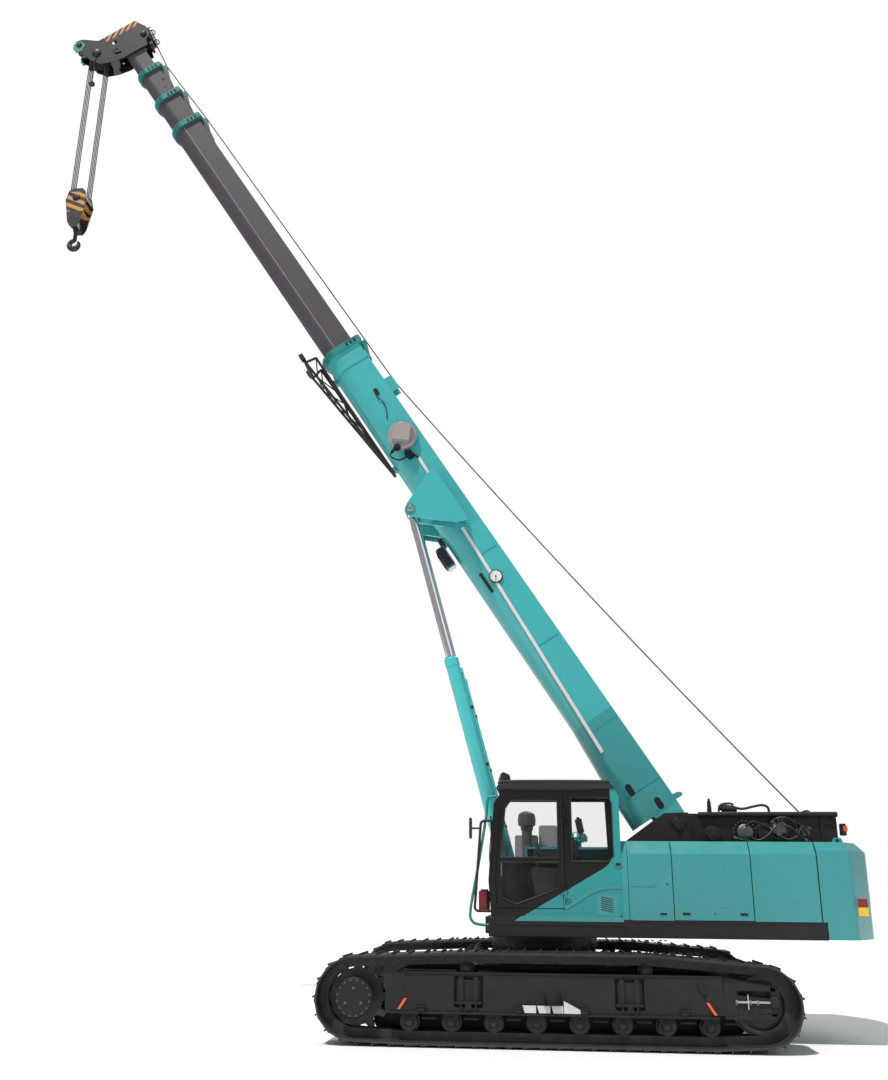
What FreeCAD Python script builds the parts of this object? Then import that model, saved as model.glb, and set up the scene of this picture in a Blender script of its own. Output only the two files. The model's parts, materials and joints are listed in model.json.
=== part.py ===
"""Telescopic-boom crane on tracks, as a parametric FreeCAD document (millimetres).

Frame: +X forward (the side the boom points to), +Y left, +Z up.
The origin is on the slewing axis, at ground level.
"""
import FreeCAD, Part
import math
import os
import re
import Sketcher

Vector = FreeCAD.Vector
X_AXIS = Vector(1, 0, 0)
Y_AXIS = Vector(0, 1, 0)
Z_AXIS = Vector(0, 0, 1)

doc = FreeCAD.newDocument("TrackedCrane")
sheet = doc.addObject("Spreadsheet::Sheet", "Sizes")

# ---------------------------------------------------------------- driving sizes
SIZES = {
    # tracks
    "track_mid": 1675,  # middle of a track, from the machine's middle plane
    "shoe_wide": 600,
    "shoe_pitch": 190,
    "shoe_thick": 24,
    "grouser_tall": 26,
    "grouser_thick": 16,
    "link_tall": 100,
    "link_thick": 48,
    "link_gap": 96,  # free space between the two rows of links
    "sprocket_place": 2190,
    "sprocket_seat": 325,  # radius that the links lie on
    "sprocket_lift": 25,
    "sprocket_thick": 70,
    "tooth_tall": 66,
    "idler_place": -2410,
    "idler_seat": 305,
    "idler_lift": 30,
    "roller_seat": 95,
    "roller_wide": 250,
    "roller_first": 1560,
    "roller_last": -1840,
    "roller_many": 8,
    "carrier_seat": 70,
    "carrier_front": 900,
    "carrier_rear": -1150,
    "carrier_rise": 880,  # height of the links' inner side over the carrier rollers
    "seat_clear": 0.3,
    # track frame
    "frame_wide": 440,
    "frame_low": 345,
    "frame_high": 790,
    "frame_front": 1830,
    "frame_rear": -1960,
    # carbody
    "beam_front": 870,
    "beam_rear": -950,
    "beam_long": 330,
    "beam_low": 430,
    "beam_high": 740,
    "body_long": 1700,
    "body_wide": 1240,
    "body_low": 420,
    "body_high": 880,
    "ring_radius": 690,
    "ring_high": 1150,
    "track_travel": 500,
    # superstructure
    "deck_low": 1160,
    "deck_high": 1360,
    "deck_front": 660,
    "deck_rear": -3300,
    "half_wide": 1450,
    "panel_top": 2270,
    "panel_thick": 40,
    "panel_gap": 12,
    "bay_front": -1060,
    "bay_split": -1550,
    "bay_back": -2480,
    "weight_front": -3260,
    "weight_rear": -4060,
    "weight_round": 420,
    "main_plate": 30,
    "main_inner": 275,  # inner side of the main plates
    "outer_reach": 120,  # from the cylinders' line to the inner side of the outer boom plates
    "boom_plate_top": 2670,
    # cab
    "cab_front": 660,
    "cab_rear": -950,
    "cab_right": 610,
    "cab_low": 1385,
    "cab_top": 2900,
    "cab_wall": 45,
    "door_rear": -270,
    "door_gap": 6,
    "door_thick": 45,
    # boom
    "foot_place": -1770,
    "foot_high": 2530,
    "luff_angle": 57.3,
    "foot_radius": 75,
    "base_wide": 500,
    "base_top": 200,
    "base_deep": 620,
    "foot_end": 650,  # rear of the base's foot plates' inner ends
    "base_end": 8800,
    "boom_wall": 10,
    "second_narrower": 88,  # each section is narrower and shallower than the one it slides in
    "second_shallower": 115,
    "second_start": 5350,
    "second_end": 14300,
    "third_narrower": 56,
    "third_shallower": 55,
    "third_start": 5600,
    "third_end": 15050,
    "fourth_narrower": 54,
    "fourth_shallower": 52,
    "fourth_start": 5850,
    "fourth_end": 15800,
    "fifth_narrower": 52,
    "fifth_shallower": 48,
    "fifth_start": 6100,
    "fifth_end": 16480,
    "collar_long": 110,
    "collar_thick": 38,
    # luffing cylinders
    "cylinder_side": 410,
    "lug_gap": 120,  # from the cylinder's middle in to the lug plate beside the boom
    "lug_reach": 115,
    "eye_half": 68,
    "jib_tip": 6500,
    "jib_root": 8920,
    "jib_fork": 275,
    "jib_hang": 690,
    "jib_front": 482,
    "jib_rear_top": 500,
    "jib_chord": 20,
    "jib_saddle_share": 0.8,
    "cylinder_foot": 380,
    "cylinder_foot_high": 1640,
    "lug_along": 5690,
    "lug_drop": 620,
    "barrel_radius": 95,
    "barrel_long": 3250,
    "rod_radius": 62,
    "pin_radius": 45,
    # boom head
    "head_pin_along": 16700,
    "head_pin_drop": 710,
    "guide_along": 16560,
    "guide_rise": 205,
    "aux_along": 17060,
    "aux_drop": 900,
    "sheave_radius": 165,
    "groove_deep": 22,
    "rope_radius": 8,
    "sheave_thick": 44,
    "sheave_step": 52,
    "sheave_many": 4,
    "aux_radius": 120,
    "head_half": 150,
    "head_plate": 16,
    # hook
    "block_top": 13250,
    "block_deep": 760,
    "block_wide": 150,
    "hook_drop": 12200,
    # winches
    "winch_place": -2900,
    "winch_high": 2420,
    "winch_radius": 210,
    "aux_winch_place": -2230,
    "aux_winch_high": 2400,
    "rope_side": 60,
}
ROW = 0
for alias, number in SIZES.items():
    ROW += 1
    sheet.set("A%d" % ROW, str(number))
    sheet.setAlias("A%d" % ROW, alias)
doc.recompute()

WORD = re.compile(r"[a-z][a-z_]+")


DERIVED = {
    "second_wide": "(base_wide - second_narrower)",
    "second_deep": "(base_deep - second_shallower)",
    "third_wide": "(second_wide - third_narrower)",
    "third_deep": "(second_deep - third_shallower)",
    "fourth_wide": "(third_wide - fourth_narrower)",
    "fourth_deep": "(third_deep - fourth_shallower)",
    "fifth_wide": "(fourth_wide - fifth_narrower)",
    "fifth_deep": "(fourth_deep - fifth_shallower)",
    "lug_inner": "(cylinder_side - lug_gap)",
    "lug_outer": "(cylinder_side + lug_reach)",
    "outer_plate": "(cylinder_side + outer_reach)",
}


def bound(text):
    """An expression for setExpression, with each size's name turned into its cell."""

    def cell(match):
        word = match.group(0)
        if word in DERIVED:
            return bound(DERIVED[word])
        return "Sizes." + word if word in SIZES else word

    return WORD.sub(cell, str(text))


def value(text):
    """The number that an expression of sizes gives now."""
    return float(sheet.evalExpression(bound(text)))


# ---------------------------------------------------------------- modelling helpers
NODES = {}
COUNT = {"made": 0}


def fresh(kind):
    """A new internal name."""
    COUNT["made"] += 1
    return "%s%03d" % (kind, COUNT["made"])


def origin_plane(body, role):
    return [f for f in body.Origin.OriginFeatures if f.Role == role][0]


def sketch_on(body, plane, offset):
    """An empty sketch on one of the body's own planes, moved along that plane's normal."""
    sketch = body.newObject("Sketcher::SketchObject", fresh("Sketch"))
    sketch.AttachmentSupport = [(origin_plane(body, plane + "_Plane"), "")]
    sketch.MapMode = "FlatFace"
    sketch.setExpression("AttachmentOffset.Base.z", bound(offset))
    return sketch


def fix_point(sketch, geo, end, place):
    """Holds a point at two dimensions from the sketch's origin, each bound to the sheet."""
    for kind, text in (("DistanceX", place[0]), ("DistanceY", place[1])):
        index = sketch.addConstraint(Sketcher.Constraint(kind, -1, 1, geo, end, value(text)))
        sketch.setExpression("Constraints[%d]" % index, bound(text))


def outline(sketch, corners):
    """A closed outline. A corner is (a, b), or (a, b, centre_a, centre_b, turn) where an arc starts."""
    spots = [Vector(value(c[0]), value(c[1]), 0) for c in corners]
    many = len(corners)
    made = []
    for i, corner in enumerate(corners):
        start, stop = spots[i], spots[(i + 1) % many]
        if len(corner) == 2:
            made.append((sketch.addGeometry(Part.LineSegment(start, stop), False), 1, 2))
            continue
        middle = Vector(value(corner[2]), value(corner[3]), 0)
        radius = (start - middle).Length
        first = math.atan2(start.y - middle.y, start.x - middle.x)
        last = math.atan2(stop.y - middle.y, stop.x - middle.x)
        circle = Part.Circle(middle, Z_AXIS, radius)
        if corner[4] == "left":
            made.append((sketch.addGeometry(Part.ArcOfCircle(circle, first, last), False), 1, 2))
        else:
            made.append((sketch.addGeometry(Part.ArcOfCircle(circle, last, first), False), 2, 1))
    for i in range(many):
        geo, _, stop_end = made[i]
        after, start_end, _ = made[(i + 1) % many]
        sketch.addConstraint(Sketcher.Constraint("Coincident", geo, stop_end, after, start_end))
    for (geo, start_end, _), corner in zip(made, corners):
        fix_point(sketch, geo, start_end, corner)
        if len(corner) == 6:
            kind, at = ("DistanceX", corner[2]) if corner[5] == "across" else ("DistanceY", corner[3])
            index = sketch.addConstraint(Sketcher.Constraint(kind, -1, 1, geo, 3, value(at)))
            sketch.setExpression("Constraints[%d]" % index, bound(at))


def ring_in(sketch, a, b, radius):
    """A circle in a sketch."""
    circle = Part.Circle(Vector(value(a), value(b), 0), Z_AXIS, value(radius))
    geo = sketch.addGeometry(circle, False)
    fix_point(sketch, geo, 3, (a, b))
    index = sketch.addConstraint(Sketcher.Constraint("Radius", geo, value(radius)))
    sketch.setExpression("Constraints[%d]" % index, bound(radius))


def prism(plane, corners, low, high, circles=(), windows=()):
    """A body with one pad: a closed outline (or circles) between two places along the plane's axis.

    On the XZ plane the normal points to -Y, so the pad starts at the high side.
    """
    body = doc.addObject("PartDesign::Body", fresh("Body"))
    offset = "-(%s)" % high if plane == "XZ" else low
    sketch = sketch_on(body, plane, offset)
    if corners:
        outline(sketch, corners)
    for window in windows:
        outline(sketch, window)
    for a, b, radius in circles:
        ring_in(sketch, a, b, radius)
    pad = body.newObject("PartDesign::Pad", fresh("Pad"))
    pad.Profile = sketch
    pad.setExpression("Length", bound("(%s) - (%s)" % (high, low)))
    return body


def box(x, y, z):
    """A block between two places on each axis."""
    made = doc.addObject("Part::Box", fresh("Block"))
    for size, spot, (low, high) in (("Length", "x", x), ("Width", "y", y), ("Height", "z", z)):
        made.setExpression(size, bound("(%s) - (%s)" % (high, low)))
        made.setExpression("Placement.Base." + spot, bound(low))
    return made


def rod(axis, start, stop, a, b, radius):
    """A cylinder along an axis. a and b are its place on the other two axes, in X, Y, Z order."""
    made = doc.addObject("Part::Cylinder", fresh("Rod"))
    made.setExpression("Radius", bound(radius))
    made.setExpression("Height", bound("(%s) - (%s)" % (stop, start)))
    turns = {"x": FreeCAD.Rotation(Y_AXIS, 90), "y": FreeCAD.Rotation(X_AXIS, -90), "z": FreeCAD.Rotation()}
    made.Placement = FreeCAD.Placement(Vector(), turns[axis])
    places = {"x": (start, a, b), "y": (a, start, b), "z": (a, b, start)}[axis]
    for spot, text in zip("xyz", places):
        made.setExpression("Placement.Base." + spot, bound(text))
    return made


def turned(corners, centre, low_side, axis="y"):
    """A revolved body. Each corner is (radius, place along the axis)."""
    body = doc.addObject("PartDesign::Body", fresh("Turned"))
    sketch = sketch_on(body, "XY", "0")
    outline(sketch, corners)
    turn = body.newObject("PartDesign::Revolution", fresh("Revolution"))
    turn.Profile = sketch
    turn.ReferenceAxis = (sketch, ["V_Axis"])
    turn.Angle = 360
    if axis == "z":
        body.Placement = FreeCAD.Placement(Vector(), FreeCAD.Rotation(X_AXIS, 90))
    for spot, text in zip("xyz", (centre[0], low_side, centre[1]) if axis == "y" else (centre[0], centre[1], low_side)):
        body.setExpression("Placement.Base." + spot, bound(text))
    return body


def fuse(*shapes):
    if len(shapes) == 1:
        return shapes[0]
    made = doc.addObject("Part::MultiFuse", fresh("Fuse"))
    made.Shapes = list(shapes)
    return made


def cut(base, *tools):
    made = doc.addObject("Part::Cut", fresh("Cut"))
    made.Base = base
    made.Tool = tools[0] if len(tools) == 1 else fuse(*tools)
    return made


def group(*shapes):
    """Pieces of one node that don't touch."""
    made = doc.addObject("Part::Compound", fresh("Group"))
    made.Links = list(shapes)
    return made


def mirrored(source):
    """The same piece on the other side of the machine's middle plane."""
    made = doc.addObject("Part::Mirroring", fresh("Mirror"))
    made.Source = source
    made.Normal = Y_AXIS
    made.Base = Vector()
    return made


def both(source):
    return group(source, mirrored(source))


def chamfered(source, size, pick):
    """The piece with the edges that pick() chooses bevelled."""
    doc.recompute()
    made = doc.addObject("Part::Chamfer", fresh("Bevel"))
    made.Base = source
    width = value(size)
    made.Edges = [(i + 1, width, width) for i, e in enumerate(source.Shape.Edges) if pick(e)]
    return made


def rounded(source, size, pick):
    """The piece with the edges that pick() chooses rounded."""
    doc.recompute()
    made = doc.addObject("Part::Fillet", fresh("Round"))
    made.Base = source
    radius = value(size)
    made.Edges = [(i + 1, radius, radius) for i, e in enumerate(source.Shape.Edges) if pick(e)]
    return made


def along(edge, axis):
    """Whether a straight edge lies along an axis."""
    if edge.Curve.TypeId != "Part::GeomLine":
        return False
    return abs(abs(edge.Curve.Direction.normalize().dot(axis)) - 1) < 1e-6


def node(name, made):
    made.Label = name
    NODES[name] = made
    return made


def on_boom(name, made):
    """A node drawn along the boom, with its origin at the foot pin, then raised to the boom's angle."""
    made.Placement = FreeCAD.Placement(Vector(), FreeCAD.Rotation(Y_AXIS, -10))
    made.setExpression("Placement.Base.x", bound("foot_place"))
    made.setExpression("Placement.Base.z", bound("foot_high"))
    made.setExpression("Placement.Rotation.Angle", bound("-luff_angle") + " * 1 deg")
    return node(name, made)


# ---------------------------------------------------------------- tracks
def wheels_of_track():
    """Circles that the links' inner side runs round, anticlockwise seen from the left side.

    Each is (x, z, radius): along the bottom to the front, over the top to the rear.
    """
    low = value("link_tall + shoe_thick + grouser_tall")
    roller = value("roller_seat")
    carrier = value("carrier_seat")
    carrier_high = value("carrier_rise - carrier_seat")
    return [
        (value("idler_place"), value("idler_seat + idler_lift") + low, value("idler_seat")),
        (value("roller_last"), roller + low, roller),
        (value("roller_first"), roller + low, roller),
        (value("sprocket_place"), value("sprocket_seat + sprocket_lift") + low, value("sprocket_seat")),
        (value("carrier_front"), carrier_high, carrier),
        (value("carrier_rear"), carrier_high, carrier),
    ]


def belt(outward):
    """Lines and arcs round the wheels, at a distance outside the links' inner side."""
    circles = wheels_of_track()
    many = len(circles)
    touches = []
    for i in range(many):
        x0, z0, r0 = circles[i]
        x1, z1, r1 = circles[(i + 1) % many]
        gap = math.hypot(x1 - x0, z1 - z0)
        heading = math.atan2(z1 - z0, x1 - x0)
        lean = math.asin((r0 - r1) / gap)
        out = heading - math.pi / 2 + lean
        side = Vector(math.cos(out), 0, math.sin(out))
        touches.append((out, Vector(x0, 0, z0) + side * (r0 + outward), Vector(x1, 0, z1) + side * (r1 + outward)))
    edges = []
    for i in range(many):
        out, start, stop = touches[i]
        after = touches[(i + 1) % many][0]
        edges.append(Part.LineSegment(start, stop).toShape())
        x, z, radius = circles[(i + 1) % many]
        turn = (after - out) % (2 * math.pi)
        middle = out + turn / 2
        if turn > 1e-6:
            halfway = Vector(x, 0, z) + Vector(math.cos(middle), 0, math.sin(middle)) * (radius + outward)
            edges.append(Part.Arc(stop, halfway, touches[(i + 1) % many][1]).toShape())
    return Part.Wire(edges)


def shoe_outline():
    """The belt's outer outline, with a grouser and a lapped edge on every shoe."""
    path = belt(value("link_tall + shoe_thick"))
    inner = belt(value("link_tall"))
    shoes = round(path.Length / value("shoe_pitch"))
    pitch = path.Length / shoes
    tall = value("grouser_tall")
    thick = value("grouser_thick")
    steps = ((0.06, 0), (0.06, tall), (0.06 + thick / pitch, tall), (0.06 + thick / pitch, 0), (0.80, 0), (0.86, 0.35 * tall))
    corners = []
    for number in range(shoes):
        for share, out in steps:
            corners.append(at_length(path, (number + share) * pitch, out))
    return corners, inner


def at_length(path, distance, out):
    """The point at a distance along a wire, moved outward."""
    for edge in path.OrderedEdges:
        if distance <= edge.Length:
            parameter = edge.getParameterByLength(distance)
            if edge.Orientation == "Reversed":
                parameter = edge.getParameterByLength(edge.Length - distance)
            spot = edge.valueAt(parameter)
            heading = edge.tangentAt(parameter)
            side = Vector(heading.z, 0, -heading.x)
            return spot + side * out
        distance -= edge.Length
    return path.OrderedEdges[0].valueAt(path.OrderedEdges[0].FirstParameter)


def slab(outer, inner, low, high):
    """The space between two wires on the XZ plane, from one Y to another."""
    face = Part.Face(outer).cut(Part.Face(inner)).Faces[0]
    face.translate(Vector(0, low, 0))
    return face.extrude(Vector(0, high - low, 0))


def make_track():
    """One fixed loop: shoes across the whole width, and two rows of links inside them."""
    middle = value("track_mid")
    half = value("shoe_wide") / 2
    corners, inner = shoe_outline()
    outer = Part.makePolygon(corners + corners[:1])
    shape = slab(outer, inner, middle - half, middle + half)
    for side in (-1, 1):
        near = middle + side * value("link_gap") / 2
        far = near + side * value("link_thick")
        row = slab(belt(value("link_tall")), belt(0), min(near, far), max(near, far))
        shape = shape.fuse(row)
    made = doc.addObject("Part::Feature", "TrackLoop")
    made.Shape = shape
    made.Placement = FreeCAD.Placement()
    return made


track = make_track()
node("left_track", track)
node("right_track", mirrored(track))

GROUND = "(link_tall + shoe_thick + grouser_tall)"
SPROCKET_AT = ("sprocket_place", "sprocket_seat + sprocket_lift + " + GROUND)
IDLER_AT = ("idler_place", "idler_seat + idler_lift + " + GROUND)


def make_sprocket():
    """A dished wheel with a ring of teeth between the rows of links, and its final drive outside."""
    teeth = round(2 * math.pi * value("sprocket_seat + link_tall / 2") / value("shoe_pitch"))
    tip = value("sprocket_seat + tooth_tall")
    root = value("sprocket_seat - 14")
    body = doc.addObject("PartDesign::Body", "SprocketWheel")
    sketch = sketch_on(body, "XZ", "-(track_mid + sprocket_thick / 2)")
    points = []
    for number in range(teeth):
        for share, radius in ((-0.30, root), (-0.11, tip), (0.11, tip), (0.30, root)):
            angle = 2 * math.pi * (number + share) / teeth
            points.append(Vector(radius * math.cos(angle), radius * math.sin(angle), 0))
    ids = [
        sketch.addGeometry(Part.LineSegment(points[i], points[(i + 1) % len(points)]), False)
        for i in range(len(points))
    ]
    for i, geo in enumerate(ids):
        sketch.addConstraint(Sketcher.Constraint("Coincident", geo, 2, ids[(i + 1) % len(ids)], 1))
        sketch.addConstraint(Sketcher.Constraint("Block", geo))
    pad = body.newObject("PartDesign::Pad", "SprocketPad")
    pad.Profile = sketch
    pad.setExpression("Length", bound("sprocket_thick"))
    body.setExpression("Placement.Base.x", bound(SPROCKET_AT[0]))
    body.setExpression("Placement.Base.z", bound(SPROCKET_AT[1]))
    return body


def make_final_drive():
    """The stepped drum of the travel reducer, from the track frame's inner side to its cover outside."""
    return turned(
        [
            ("0", "-150"),
            ("190", "-150"),
            ("190", "60"),
            ("170", "95"),
            ("170", "170"),
            ("150", "205"),
            ("95", "215"),
            ("95", "232"),
            ("0", "232"),
        ],
        SPROCKET_AT,
        "track_mid",
    )


sprocket = fuse(make_sprocket(), make_final_drive())
node("left_sprocket", sprocket)
node("right_sprocket", mirrored(sprocket))


def make_idler():
    """A rim that rolls on the links, a flange between them, and a hub."""
    flange = "(link_gap / 2 - 8)"
    rim = "(link_gap / 2 + link_thick)"
    wheel = turned(
        [
            ("55", "-" + rim),
            ("150", "-" + rim),
            ("150", "-30"),
            ("idler_seat - 45", "-30"),
            ("idler_seat - 45", "-" + rim),
            ("idler_seat - seat_clear", "-" + rim),
            ("idler_seat - seat_clear", "-" + flange),
            ("idler_seat + 30", "-" + flange),
            ("idler_seat + 30", flange),
            ("idler_seat - seat_clear", flange),
            ("idler_seat - seat_clear", rim),
            ("idler_seat - 45", rim),
            ("idler_seat - 45", "30"),
            ("150", "30"),
            ("150", rim),
            ("55", rim),
        ],
        IDLER_AT,
        "track_mid",
    )
    return wheel


def roller(place_x, place_z, seat):
    """A track roller: two treads and the flange between the links, on its shaft."""
    flange = "(link_gap / 2 - 8)"
    half = "(roller_wide / 2)"
    return turned(
        [
            ("0", "-" + half + " - 45"),
            ("38", "-" + half + " - 45"),
            ("38", "-" + half),
            (seat, "-" + half),
            (seat, "-" + flange),
            (seat + " + 22", "-" + flange),
            (seat + " + 22", flange),
            (seat, flange),
            (seat, half),
            ("38", half),
            ("38", half + " + 45"),
            ("0", half + " + 45"),
        ],
        (place_x, place_z),
        "track_mid",
    )


def make_rollers():
    """The bottom rollers, evenly spaced between the two end ones, and two carrier rollers."""
    made = []
    gaps = int(value("roller_many")) - 1
    for number in range(gaps + 1):
        place = "roller_last + (roller_first - roller_last) * %d / %d" % (number, gaps)
        made.append(roller(place, "roller_seat + " + GROUND, "roller_seat - seat_clear"))
    for place in ("carrier_front", "carrier_rear"):
        made.append(roller(place, "carrier_rise - carrier_seat", "carrier_seat - seat_clear"))
    return group(*made)


idler = make_idler()
node("left_idler", idler)
node("right_idler", mirrored(idler))
rollers = make_rollers()
node("left_rollers", rollers)
node("right_rollers", mirrored(rollers))

FRAME_IN = "(track_mid - frame_wide / 2)"
FRAME_OUT = "(track_mid + frame_wide / 2)"


def make_track_frame():
    """A closed box along the track, open below for the rollers, forked at the rear for the idler."""
    side = [
        ("frame_rear", "frame_low + 40"),
        ("frame_rear + 260", "frame_low"),
        ("frame_front", "frame_low"),
        ("frame_front", "frame_high - 110"),
        ("frame_front - 160", "frame_high"),
        ("frame_rear + 330", "frame_high"),
        ("frame_rear", "frame_high - 190"),
    ]
    body = prism("XZ", side, FRAME_IN, FRAME_OUT)
    roller_room = box(
        ("roller_last - 260", "roller_first + 200"),
        ("track_mid - roller_wide / 2 - 12", "track_mid + roller_wide / 2 + 12"),
        ("frame_low - 60", "roller_seat * 2 + 60 + " + GROUND),
    )
    shafts = []
    gaps = int(value("roller_many")) - 1
    for number in range(gaps + 1):
        place = "roller_last + (roller_first - roller_last) * %d / %d" % (number, gaps)
        for low, high in (("track_mid - roller_wide / 2 - 60", "track_mid - roller_wide / 2 - 12"),
                          ("track_mid + roller_wide / 2 + 12", "track_mid + roller_wide / 2 + 60")):
            lug = prism(
                "XZ",
                [
                    (place + " - 62", "frame_low + 20"),
                    (place + " - 50", "roller_seat - 48 + " + GROUND),
                    (place + " + 50", "roller_seat - 48 + " + GROUND),
                    (place + " + 62", "frame_low + 20"),
                ],
                low,
                high,
                windows=(),
            )
            hole = rod("y", low + " - 5", high + " + 5", place, "roller_seat + " + GROUND, "38 + seat_clear")
            shafts.append(cut(lug, hole))
    posts = []
    for place in ("carrier_front", "carrier_rear"):
        low = "track_mid - roller_wide / 2 - 60"
        high = "track_mid + roller_wide / 2 + 12"
        for near, far in ((low, low + " + 48"), (high, high + " + 48")):
            post = prism(
                "XZ",
                [
                    (place + " - 70", "frame_high - 5"),
                    (place + " + 70", "frame_high - 5"),
                    (place + " + 48", "carrier_rise - carrier_seat + 48"),
                    (place + " - 48", "carrier_rise - carrier_seat + 48"),
                ],
                near,
                far,
            )
            hole = rod("y", near + " - 5", far + " + 5", place, "carrier_rise - carrier_seat", "38 + seat_clear")
            posts.append(cut(post, hole))
    carrier_room = [
        box(
            (place + " - 95 - 30", place + " + 95 + 30"),
            ("track_mid - roller_wide / 2 - 12", "track_mid + roller_wide / 2 + 12"),
            ("carrier_rise - carrier_seat * 2 - 50", "carrier_rise + 30"),
        )
        for place in ("carrier_front", "carrier_rear")
    ]
    fork = []
    for low, high in ((FRAME_IN, FRAME_IN + " + 60"), (FRAME_OUT + " - 60", FRAME_OUT)):
        arm = prism(
            "XZ",
            [
                ("idler_place - 90", "idler_seat + idler_lift - 70 + " + GROUND),
                ("frame_rear + 20", "frame_low + 37"),
                ("frame_rear + 20", "frame_high - 180"),
                ("idler_place - 90", "idler_seat + idler_lift + 80 + " + GROUND),
            ],
            low,
            high,
        )
        fork.append(arm)
    axle = rod("y", FRAME_IN + " + 30", FRAME_OUT + " - 30", *IDLER_AT, "55 - seat_clear")
    drive_mount = prism(
        "XZ",
        [
            ("frame_front - 40", "frame_low + 20"),
            ("sprocket_place - 40", "frame_low + 30"),
            ("sprocket_place + 150", "sprocket_seat + sprocket_lift - 80 + " + GROUND),
            ("sprocket_place + 150", "sprocket_seat + sprocket_lift + 110 + " + GROUND),
            ("sprocket_place - 60", "frame_high - 60"),
            ("frame_front - 40", "frame_high - 90"),
        ],
        FRAME_IN,
        "track_mid - 150",
    )
    pockets = [
        box(
            (place + " - beam_long / 2", place + " + beam_long / 2"),
            (FRAME_OUT + " - 60", FRAME_OUT + " + 5"),
            ("beam_low - 10", "beam_high + 10"),
        )
        for place in ("beam_front", "beam_rear")
    ]
    shaft_holes = [
        rod("y", "track_mid - 175", "track_mid + 175", place, "carrier_rise - carrier_seat", "38 + seat_clear")
        for place in ("carrier_front", "carrier_rear")
    ]
    wheel_room = rod("y", "track_mid - 55", "track_mid + 55", *SPROCKET_AT, "sprocket_seat + tooth_tall + 20")
    rooms = [roller_room, wheel_room] + carrier_room + pockets + shaft_holes
    hollow = cut(fuse(body, *fork, drive_mount), *rooms)
    ends = [
        box(
            (place + " - beam_long / 2 + 30", place + " + beam_long / 2 - 30"),
            (FRAME_OUT + " - 62", FRAME_OUT + " - 20"),
            ("beam_low + 30", "beam_high - 30"),
        )
        for place in ("beam_front", "beam_rear")
    ]
    legs = [
        box(
            (place + " - beam_long / 2 + 28", place + " + beam_long / 2 - 28"),
            ("track_travel + 20", FRAME_IN + " + 5"),
            ("beam_low + 20 + seat_clear", "beam_high - 20 - seat_clear"),
        )
        for place in ("beam_front", "beam_rear")
    ]
    return fuse(hollow, axle, *ends, *legs, *shafts, *posts)


track_frame = make_track_frame()
node("left_track_frame", track_frame)
node("right_track_frame", mirrored(track_frame))


# ---------------------------------------------------------------- carbody and slewing ring
def make_carbody():
    """The middle box with its four sleeves, in which the track frames' legs slide."""
    body = prism(
        "XY",
        [
            ("-body_long / 2", "-body_wide / 2"),
            ("body_long / 2", "-body_wide / 2"),
            ("body_long / 2", "body_wide / 2"),
            ("-body_long / 2", "body_wide / 2"),
        ],
        "body_low",
        "body_high",
    )
    body = chamfered(body, 90, lambda e: along(e, Z_AXIS))
    sleeves = [
        box(
            (place + " - beam_long / 2", place + " + beam_long / 2"),
            ("-body_wide / 2 - 120", "body_wide / 2 + 120"),
            ("beam_low", "beam_high"),
        )
        for place in ("beam_front", "beam_rear")
    ]
    rooms = [
        box(
            (place + " - beam_long / 2 + 20", place + " + beam_long / 2 - 20"),
            ("-body_wide / 2 - 125", "body_wide / 2 + 125"),
            ("beam_low + 20", "beam_high - 20"),
        )
        for place in ("beam_front", "beam_rear")
    ]
    pedestal = turned(
        [("ring_radius - 190", "0"), ("ring_radius - 20", "0"), ("ring_radius - 20", "120"), ("ring_radius - 190", "120")],
        ("0", "0"),
        "body_high",
        "z",
    )
    return fuse(cut(fuse(body, *sleeves), *rooms), pedestal)


node("carbody", make_carbody())
outer_ring = turned(
    [
        ("ring_radius - 150", "0"),
        ("ring_radius", "0"),
        ("ring_radius", "ring_high - body_high - 120"),
        ("ring_radius - 150", "ring_high - body_high - 120"),
    ],
    ("0", "0"),
    "body_high + 120",
    "z",
)
node("slewing_ring", outer_ring)


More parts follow.
